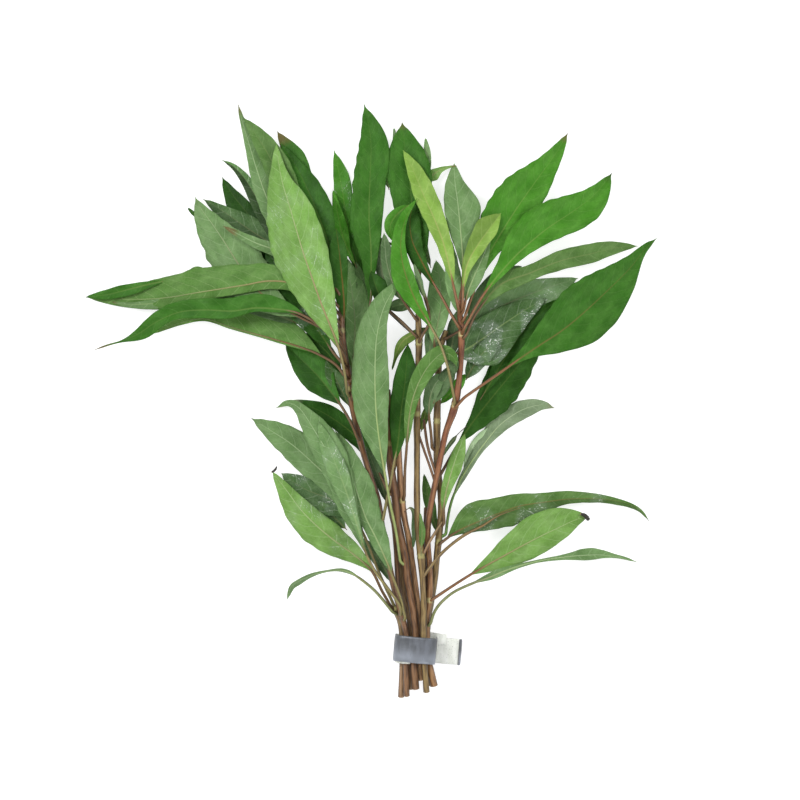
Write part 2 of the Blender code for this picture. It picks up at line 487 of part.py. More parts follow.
def lay_leaf(leaf, ground, leaves, axes):
    """Lay a leaf over what is already there and return its sections.

    ground is the map of all that lies there. The first stretch of the stalk, which its own stem is
    beside, clears only what the map of leaves holds.
    """
    base, base_height = leaf_base(leaf, axes)
    share = np.linspace(0.0, 1.0, STATIONS)
    rest = leaf.tip + BLADE_HALF_THICKNESS
    free = rest + (base_height - rest) * (1.0 - share) ** leaf.sag + leaf.arch * 4.0 * share * (1.0 - share)
    heights = free.copy()
    for _ in range(LAYING_PASSES):
        parts = sections(leaf, heights, base)
        points, half = fine_surface(*parts)
        under = ground.under(points)
        under[0] = leaves.under(points[0])
        short = (under + LAYER_GAP + half - points[..., 2]).max(axis=(1, 2))
        above = heights - free
        lift = np.zeros(STATIONS)
        lift[:-1] = short + above[:-1]
        lift[1:] = np.maximum(lift[1:], short + above[1:])
        lift = np.maximum(lift, 0.0)
        wide = lift.copy()
        wide[1:-1] = np.max([lift[:-2], lift[1:-1], lift[2:]], axis=0)
        soft = wide.copy()
        soft[1:-1] = 0.25 * wide[:-2] + 0.5 * wide[1:-1] + 0.25 * wide[2:]
        heights = free + np.maximum(soft, lift)
        steps = np.linalg.norm(np.diff(parts[0][:, :2], axis=0), axis=1)
        for k in range(1, STATIONS):
            heights[k] = max(heights[k], heights[k - 1] - STEEPEST * steps[k - 1])
        for k in range(STATIONS - 2, 0, -1):
            heights[k] = max(heights[k], heights[k + 1] - STEEPEST * steps[k])
    return sections(leaf, heights, base)


def clear_scene():
    """Remove the scene's objects."""
    for thing in list(bpy.data.objects):
        bpy.data.objects.remove(thing, do_unlink=True)


def paint(name, colour, roughness, metallic=0.0):
    """Return a plain material."""
    material = bpy.data.materials.new(name)
    material.use_nodes = True
    shader = material.node_tree.nodes["Principled BSDF"]
    shader.inputs["Base Color"].default_value = (*colour, 1.0)
    shader.inputs["Roughness"].default_value = roughness
    shader.inputs["Metallic"].default_value = metallic
    material.diffuse_color = (*colour, 1.0)
    return material


def build_stem(stem, axis, collection):
    """Build one stem as a tube that swells at its joints."""
    curve = bpy.data.curves.new(stem.name, "CURVE")
    curve.dimensions = "3D"
    curve.bevel_depth = MM
    curve.bevel_resolution = STEM_ROUNDNESS
    curve.use_fill_caps = True
    spline = curve.splines.new("POLY")
    spline.points.add(len(axis) - 1)
    for point, (x, y, z, radius) in zip(spline.points, axis):
        point.co = (x * MM, y * MM, z * MM, 1.0)
        point.radius = radius
    curve.materials.append(paint(stem.name, stem.colour, 0.45))
    thing = bpy.data.objects.new(stem.name, curve)
    collection.objects.link(thing)


def build_leaf(leaf, parts, collection):
    """Build one leaf as a loft from its round stalk to its flat blade."""
    middle, left_edge, right_edge, thick = parts
    points = []
    for k in range(STATIONS):
        raised = np.array([0.0, 0.0, thick[k]])
        points += [left_edge[k], middle[k] + raised, right_edge[k], middle[k] - raised]
    faces = [(3, 2, 1, 0)]
    for k in range(STATIONS - 1):
        for a in range(4):
            b = (a + 1) % 4
            faces.append((4 * k + a, 4 * k + b, 4 * k + 4 + b, 4 * k + 4 + a))
    last = 4 * (STATIONS - 1)
    faces.append((last, last + 1, last + 2, last + 3))
    mesh = bpy.data.meshes.new(leaf.name)
    mesh.from_pydata([tuple(p * MM) for p in points], [], faces)
    mesh.validate()
    mesh.materials.append(paint(leaf.name, leaf.colour, 0.4))
    thing = bpy.data.objects.new(leaf.name, mesh)
    collection.objects.link(thing)


def build_strip(collection):
    """Build the soft metal strip: a bent surface with thickness, wrapped once round the stems."""
    half = 0.5 * STRIP_WIDTH * MM
    points = [(x * MM, y, z * MM) for x, z in STRIP_PROFILE for y in (-half, half)]
    faces = [(2 * k, 2 * k + 1, 2 * k + 3, 2 * k + 2) for k in range(len(STRIP_PROFILE) - 1)]
    mesh = bpy.data.meshes.new("metal_strip")
    mesh.from_pydata(points, [], faces)
    mesh.materials.append(paint("metal_strip", METAL, 0.5, 0.8))
    thing = bpy.data.objects.new("metal_strip", mesh)
    thing.rotation_euler[2] = np.radians(STRIP_TURN)
    collection.objects.link(thing)
    wall = thing.modifiers.new("thickness", "SOLIDIFY")
    wall.thickness = STRIP_THICKNESS * MM
    wall.offset = 0.0
    wall.use_even_offset = True


def lay_all(group, ground, leaves, axes, collection):
    """Lay and build the leaves of a group, each over all before it."""
    for leaf in group:
        parts = lay_leaf(leaf, ground, leaves, axes)
        build_leaf(leaf, parts, collection)
        points, half = fine_surface(*parts)
        ground.add(points, points[..., 2] + half)
        leaves.add(points, points[..., 2] + half)


def main():
    """Build the strip, the low leaves, the stems and then the leaves laid over them."""
    clear_scene()
    collection = bpy.data.collections.new("hygrophila_bunch")
    bpy.context.scene.collection.children.link(collection)
    build_strip(collection)

    axes = {stem.name: stem_axis(stem) for stem in STEMS}
    ground = HeightMap()
    leaves = HeightMap()
    lay_all(LOW_LEAVES, ground, leaves, axes, collection)
    for stem in STEMS:
        build_stem(stem, axes[stem.name], collection)
        ground.add(*tube_top(axes[stem.name]))
    lay_all(HIGH_LEAVES, ground, leaves, axes, collection)


main()
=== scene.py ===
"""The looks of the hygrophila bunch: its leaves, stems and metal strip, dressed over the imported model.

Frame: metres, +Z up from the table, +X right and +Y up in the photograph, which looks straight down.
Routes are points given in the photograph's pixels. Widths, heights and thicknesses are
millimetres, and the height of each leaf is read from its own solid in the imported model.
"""

import logging
import math
from dataclasses import dataclass
from enum import Enum

import bmesh
import bpy
import numpy as np
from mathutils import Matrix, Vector
from mathutils.bvhtree import BVHTree


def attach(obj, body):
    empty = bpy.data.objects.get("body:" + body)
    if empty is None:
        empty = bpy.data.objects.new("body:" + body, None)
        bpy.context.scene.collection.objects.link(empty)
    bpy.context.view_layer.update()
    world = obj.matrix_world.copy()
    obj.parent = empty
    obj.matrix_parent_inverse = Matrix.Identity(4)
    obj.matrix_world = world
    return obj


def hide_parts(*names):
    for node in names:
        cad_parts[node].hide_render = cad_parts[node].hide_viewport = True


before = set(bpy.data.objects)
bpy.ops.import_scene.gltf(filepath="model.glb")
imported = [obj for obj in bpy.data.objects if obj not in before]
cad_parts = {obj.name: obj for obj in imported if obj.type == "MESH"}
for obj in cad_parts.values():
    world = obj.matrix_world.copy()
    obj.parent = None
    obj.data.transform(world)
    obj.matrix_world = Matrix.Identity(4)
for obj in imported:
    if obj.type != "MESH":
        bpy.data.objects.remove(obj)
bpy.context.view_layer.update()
LOG = logging.getLogger("hygrophila_bunch")

MM = 0.001

# The photograph's scale and the place that it was taken from
MM_PER_PIXEL = 0.4
ORIGIN_PIXEL = (415.0, 648.0)
CENTRE_PIXEL = (400.0, 400.0)
CAMERA_HEIGHT = 1200.0
PHOTO_WIDTH = 800

# Leaf and stem sizes that the solids share
PETIOLE_RADIUS = 0.7
BLADE_HALF_THICKNESS = 0.4
TIP_HALF_WIDTH = 0.35
CAD_STATIONS = 16
STALK_TO_BLADE = 0.15

# Distance between the rings of a stem, in millimetres
AXIS_STEP = 0.7

# Height in millimetres from which the search for a leaf's own height starts, and its rounds
FIRST_HEIGHT = 5.0
HEIGHT_ROUNDS = 3

# Side veins: their distance along the blade in millimetres, their lean towards the tip and its growth,
# how far they waver, and how far the left half's are ahead, as a share of their distance
VEIN_SPACING = 6.4
VEIN_SLANT = 0.7
VEIN_BEND = 0.14
VEIN_WAVER = 3.2
VEIN_STAGGER = 0.42
# Where a vein and a line of the net between the veins start and are full, and how close the net is
VEIN_EDGE = (0.42, 0.08)
NET_EDGE = (0.12, 0.02)
NET_CELLS = 0.9
# Length of one radian round a stem and round a stalk in their maps, and the painted shade on their sides
ROUND_STEM = 1.3
ROUND_STALK = 0.6
PAINTED_SIDE_SHADE = (0.2, 0.16, 0.14)

# A full turn in radians, rounded, and the direction away from the table
FULL_TURN = 6.28
UP = np.array([0.0, 0.0, 1.0])

Colour = tuple[float, float, float]
Points = tuple[tuple[float, ...], ...]
Socket = bpy.types.NodeSocket


def srgb(red: float, green: float, blue: float) -> Colour:
    """Turn a colour of 0 to 255 a channel into scene-linear values."""
    values = []
    for channel in (red, green, blue):
        share = channel / 255.0
        values.append(share / 12.92 if share <= 0.04045 else ((share + 0.055) / 1.055) ** 2.4)
    return tuple(values)


def scaled(colour: Colour, share: float) -> Colour:
    """Return the colour made lighter or darker."""
    return tuple(channel * share for channel in colour)


class Tone(Enum):
    """The finish of a leaf's visible side, and with it which side looks up."""

    UPPER_DARK = "upper dark"
    UPPER_MID = "upper mid"
    UPPER_BRIGHT = "upper bright"
    UPPER_SAGE = "upper sage"
    UPPER_WET = "upper wet"
    YOUNG = "young"
    UNDER_PALE = "under pale"
    UNDER_GREEN = "under green"
    UNDER_BRIGHT = "under bright"
    UNDER_GREY = "under grey"
    UNDER_DULL = "under dull"

    @property
    def under(self) -> bool:
        """Whether the leaf lies with its underside up."""
        return self.value.startswith("under")


class Bark(Enum):
    """The finish of a stem."""

    TAN = "tan"
    PINK = "pink"
    DARK_RED = "dark red"
    RED = "red"
    BROWN = "brown"
    DARK = "dark"
    BLACK = "black"


@dataclass(frozen=True)
class LeafFinish:
    """Colours and gloss of one side of a leaf."""

    blade: Colour
    cloud: Colour
    vein: Colour
    rib: Colour
    vein_share: float
    net_share: float
    roughness: float
    relief: float
    rib_width: float = 0.5
    rib_share: float = 0.6
    gloss: float = 0.1


@dataclass(frozen=True)
class BarkFinish:
    """Colours of a stem: near the cut end, further up, along its furrows and at its joints."""

    low: Colour
    high: Colour
    streak: Colour
    joint: Colour
    roughness: float


@dataclass(frozen=True)
class Pattern:
    """A soft noise that is cut to a mask: its scale and detail, and where it starts and is full."""

    scale: float
    detail: float
    faint: float
    full: float


# On leaves
CLOUDS = Pattern(0.14, 3.0, 0.3, 0.76)
SHADES = Pattern(0.2, 2.0, 0.62, 0.4)
MOTTLE = Pattern(0.9, 4.0, 0.3, 0.75)
# Patches of wet, with a painted sheen on them
WET_SHEEN_PATCHES = Pattern(0.09, 3.0, 0.48, 0.62)
# On stems
BARK_PATCHES = Pattern(0.22, 3.0, 0.35, 0.7)
STREAKS = Pattern(1.1, 3.0, 0.42, 0.66)
# Small flecks that take painted glints of light on the stems
PAINTED_GLINT_FLECKS = Pattern(1.3, 2.0, 0.66, 0.72)
# On the metal strip
SMEARS = Pattern(0.4, 4.0, 0.35, 0.7)
SCRATCHES = Pattern(2.2, 2.0, 0.62, 0.70)
SPECKS = Pattern(1.7, 3.0, 0.62, 0.68)


@dataclass(frozen=True)
class Mark:
    """A discoloured leaf tip: where it starts along the blade, its colour and how strong it is."""

    start: float
    colour: Colour
    strength: float


BROWNISH_TIP = srgb(104, 86, 56)
BLACK_TIP = srgb(34, 28, 18)
PALE_TIP = srgb(196, 196, 170)
NO_TIP = Mark(1.0, BROWNISH_TIP, 0.0)

BROWN_STALK = srgb(106, 80, 50)
RED_STALK = srgb(130, 90, 56)
DARK_STALK = srgb(60, 48, 30)
GREEN_STALK = srgb(122, 128, 80)
LEAF_STALK = srgb(98, 134, 60)
OLIVE_STALK = srgb(134, 124, 76)
PALE_STALK = srgb(146, 160, 96)
PINK_RIB = srgb(144, 130, 88)
BROWN_RIB = srgb(114, 92, 54)
RED_RIB = srgb(122, 78, 44)
PALE_RIB = srgb(146, 168, 106)

# Painted sheen and painted glints of light on wet leaves
PAINTED_SHEEN_COLOUR = srgb(150, 165, 150)
PAINTED_GLINT_COLOUR = srgb(232, 236, 230)


@dataclass(frozen=True)
class Look:
    """How one leaf is finished: tone, brightness by half (own tone and painted light and shade) and from base
    to end, tip, wetness with painted sheen and glints, colours.
    """

    tone: Tone
    # left and right: brightness of each half, partly the leaf's own tone, partly painted light and shade of
    # its fold and of the leaves above it
    left: float = 1.0
    right: float = 1.0
    base: float = 1.0
    end: float = 1.0
    tip: Mark = NO_TIP
    wet_and_glints: float = 0.0
    stalk: Colour = BROWN_STALK
    rib: Colour | None = None


@dataclass(frozen=True)
class StemRoute:
    """A stem: its axis as pixel x, pixel y, height and, where it differs, radius, and its joints.

    slot_of is given only for the bare stalks that have no solid of their own, and names the solid that
    they go with; only whether it is given is read.
    """

    name: str
    radius: float
    bark: Bark
    axis: Points
    joints: Points = ()
    slot_of: str = ""


@dataclass(frozen=True)
class LeafRoute:
    """A leaf with its stalk, traced along its midrib, with the same values as its solid.

    heights is given only for the small leaves that have no solid of their own, and slot_of then names
    the solid that they go with; only whether slot_of is given is read.
    """

    name: str
    stem: str
    petiole: float
    look: Look
    midrib: Points
    left: tuple[float, ...]
    right: tuple[float, ...]
    fold: float = 0.12
    roll: float = 0.0
    heights: tuple[float, ...] = ()
    slot_of: str = ""


LEAF_FINISHES: dict[Tone, LeafFinish] = {
    Tone.UPPER_DARK: LeafFinish(
        srgb(36, 76, 16), srgb(54, 98, 34), srgb(68, 108, 46), srgb(80, 104, 44),
        vein_share=0.22, net_share=0.12, roughness=0.4, relief=0.5),
    Tone.UPPER_MID: LeafFinish(
        srgb(48, 98, 24), srgb(70, 118, 44), srgb(88, 130, 62), srgb(98, 124, 60),
        vein_share=0.2, net_share=0.12, roughness=0.42, relief=0.5),
    Tone.UPPER_BRIGHT: LeafFinish(
        srgb(60, 122, 26), srgb(84, 142, 50), srgb(102, 150, 68), srgb(110, 142, 66),
        vein_share=0.2, net_share=0.12, roughness=0.42, relief=0.5),
    Tone.UPPER_SAGE: LeafFinish(
        srgb(76, 112, 50), srgb(102, 134, 76), srgb(120, 148, 94), srgb(118, 130, 80),
        vein_share=0.25, net_share=0.15, roughness=0.42, relief=0.5),
    Tone.UPPER_WET: LeafFinish(
        srgb(58, 92, 42), srgb(92, 122, 76), srgb(134, 154, 122), srgb(108, 116, 74),
        vein_share=0.4, net_share=0.2, roughness=0.34, relief=0.6),
    Tone.YOUNG: LeafFinish(
        srgb(120, 158, 64), srgb(142, 174, 88), srgb(160, 186, 108), srgb(158, 158, 98),
        vein_share=0.25, net_share=0.12, roughness=0.45, relief=0.35),
    Tone.UNDER_PALE: LeafFinish(
        srgb(96, 130, 76), srgb(120, 150, 100), srgb(138, 164, 118), srgb(138, 160, 106),
        vein_share=0.4, net_share=0.2, roughness=0.52, relief=0.55),
    Tone.UNDER_GREEN: LeafFinish(
        srgb(80, 120, 52), srgb(102, 138, 74), srgb(122, 152, 94), srgb(124, 130, 82),
        vein_share=0.42, net_share=0.2, roughness=0.5, relief=0.55),
    Tone.UNDER_BRIGHT: LeafFinish(
        srgb(104, 146, 66), srgb(126, 162, 92), srgb(146, 176, 116), srgb(144, 148, 100),
        vein_share=0.36, net_share=0.2, roughness=0.48, relief=0.5),
    Tone.UNDER_GREY: LeafFinish(
        srgb(84, 114, 70), srgb(108, 134, 92), srgb(126, 150, 110), srgb(120, 130, 90),
        vein_share=0.25, net_share=0.2, roughness=0.5, relief=0.55),
    Tone.UNDER_DULL: LeafFinish(
        srgb(112, 134, 98), srgb(138, 156, 124), srgb(154, 170, 142), srgb(128, 136, 100),
        vein_share=0.25, net_share=0.2, roughness=0.5, relief=0.5),
}

BARK_FINISHES: dict[Bark, BarkFinish] = {
    Bark.TAN: BarkFinish(
        srgb(152, 120, 88), srgb(140, 118, 78), srgb(80, 54, 34), srgb(186, 182, 112), roughness=0.45),
    Bark.PINK: BarkFinish(
        srgb(182, 142, 100), srgb(180, 138, 98), srgb(86, 50, 34), srgb(184, 178, 112), roughness=0.4),
    Bark.DARK_RED: BarkFinish(
        srgb(128, 94, 64), srgb(116, 80, 46), srgb(50, 28, 18), srgb(160, 154, 94), roughness=0.32),
    Bark.RED: BarkFinish(
        srgb(148, 110, 70), srgb(134, 80, 50), srgb(70, 34, 22), srgb(192, 184, 128), roughness=0.36),
    Bark.BLACK: BarkFinish(
        srgb(34, 30, 20), srgb(40, 36, 24), srgb(20, 18, 12), srgb(40, 36, 24), roughness=0.5),
    Bark.DARK: BarkFinish(
        srgb(44, 48, 22), srgb(50, 52, 26), srgb(30, 26, 14), srgb(80, 80, 40), roughness=0.4),
    Bark.BROWN: BarkFinish(
        srgb(134, 112, 68), srgb(128, 104, 58), srgb(58, 38, 22), srgb(170, 166, 104), roughness=0.42),
}

STEM_ROUTES = (
    StemRoute(
        "stem_1", 1.15, Bark.TAN, joints=((394, 607),),
        axis=((401, 697, 2.4), (402.5, 662, 2.5), (402, 648, 2.5), (402, 634, 2.5), (399.5, 620, 3.2),
              (394, 607, 4.6, 1.4))),
    StemRoute(
        "stem_2", 1.2, Bark.DARK_RED, joints=((350, 388), (341.5, 330)),
        axis=((406.5, 696, 4.6), (406, 662, 4.95), (406, 648, 4.95), (406, 634, 5.0), (403, 620, 5.6),
              (398, 602, 6.9), (393.5, 585, 7.6), (388.5, 563, 8.0), (384, 540, 8.2), (381, 520, 8.4),
              (378, 500, 8.7), (371, 478, 9.1), (362, 448, 9.7), (354, 415, 10.4), (350, 388, 11.2, 1.5),
              (345, 355, 12.2), (341.5, 330, 13.0, 1.4), (341.5, 305, 13.6, 1.2), (340.5, 270, 14.4, 0.9))),
    StemRoute(
        "stem_3", 1.1, Bark.TAN,
        axis=((411, 689, 2.4), (410, 662, 2.5), (410.5, 648, 2.5), (411, 634, 2.5), (408, 612, 2.6),
              (403, 590, 2.9), (400, 565, 3.4), (397.5, 540, 3.9), (393, 520, 4.3),
              (388.5, 500, 4.7, 0.9))),
    StemRoute(
        "stem_4", 1.5, Bark.DARK_RED, joints=((389.5, 443),),
        axis=((415.5, 689, 5.0), (414, 662, 5.2), (415, 648, 5.2), (416, 634, 5.2), (414.5, 620, 5.5),
              (411.5, 600, 6.2), (407.5, 580, 6.8), (405.5, 560, 7.4), (401.5, 540, 8.0), (397.5, 520, 8.6),
              (395.5, 500, 9.1), (392.5, 478, 9.5), (390, 460, 9.8), (389.5, 443, 10.1, 1.5),
              (389, 415, 10.5), (388, 390, 10.9, 1.0))),
    StemRoute(
        "stem_5", 1.2, Bark.PINK, joints=((401.8, 500),),
        axis=((420.5, 680, 2.4), (419, 662, 2.5), (419.5, 648, 2.5), (420, 634, 2.5), (419, 620, 2.6),
              (417, 600, 3.0), (414.5, 580, 3.6), (412, 560, 4.4), (409, 540, 5.2), (404.8, 520, 6.0),
              (401.8, 500, 6.8, 1.4), (400, 475, 7.6, 1.2), (399, 447, 8.6, 1.0))),
    StemRoute(
        "stem_6", 1.2, Bark.BROWN, joints=((421, 555), (417, 414), (419, 342)),
        axis=((426.5, 692, 6.5), (424.5, 662, 8.0), (424, 648, 8.1), (423.5, 634, 8.3), (423.7, 615, 8.4),
              (423.5, 600, 8.6), (422.5, 580, 8.7), (421, 555, 8.8, 1.55), (418, 530, 8.8), (417, 500, 9.0),
              (417, 470, 9.2), (417, 440, 9.5), (417, 414, 9.8, 1.35), (418, 380, 10.3),
              (419, 342, 11.0, 1.4), (418, 314, 11.6, 1.0))),
    StemRoute(
        "stem_7", 1.2, Bark.RED, joints=((429.5, 600), (455, 405), (461.5, 335)),
        axis=((434, 686, 5.2, 1.6), (429, 662, 5.4), (428, 648, 5.5), (427, 634, 5.55), (427.5, 615, 5.8),
              (429.5, 600, 6.0, 1.35), (430, 580, 6.3), (429, 560, 6.6), (427.5, 540, 6.9),
              (428.5, 520, 7.6), (432.5, 497, 8.8), (437, 475, 10.0), (441, 455, 10.8), (446, 432, 11.6),
              (455, 405, 13.0, 1.5), (460, 370, 14.6, 1.1), (461.5, 335, 16.2, 1.35), (460, 315, 17.0, 1.1),
              (459.5, 300, 17.5, 0.9))),
    StemRoute(
        "stem_8", 1.25, Bark.BROWN, joints=((438.5, 541), (437, 420)),
        axis=((430.5, 685, 2.4), (427, 662, 2.5), (427, 648, 2.5), (427, 634, 2.5), (428.5, 615, 2.6),
              (431.5, 600, 2.9), (434.5, 580, 3.6), (436.5, 560, 4.6), (438.5, 541, 6.0, 1.4),
              (440.5, 520, 6.4), (441, 500, 6.2), (439.5, 482, 5.9), (437.5, 465, 6.2, 1.4),
              (437, 445, 7.0, 1.45), (437, 420, 8.0, 1.45), (438, 385, 9.0), (440, 350, 10.2, 1.3),
              (446, 331, 11.0, 1.0))),
)

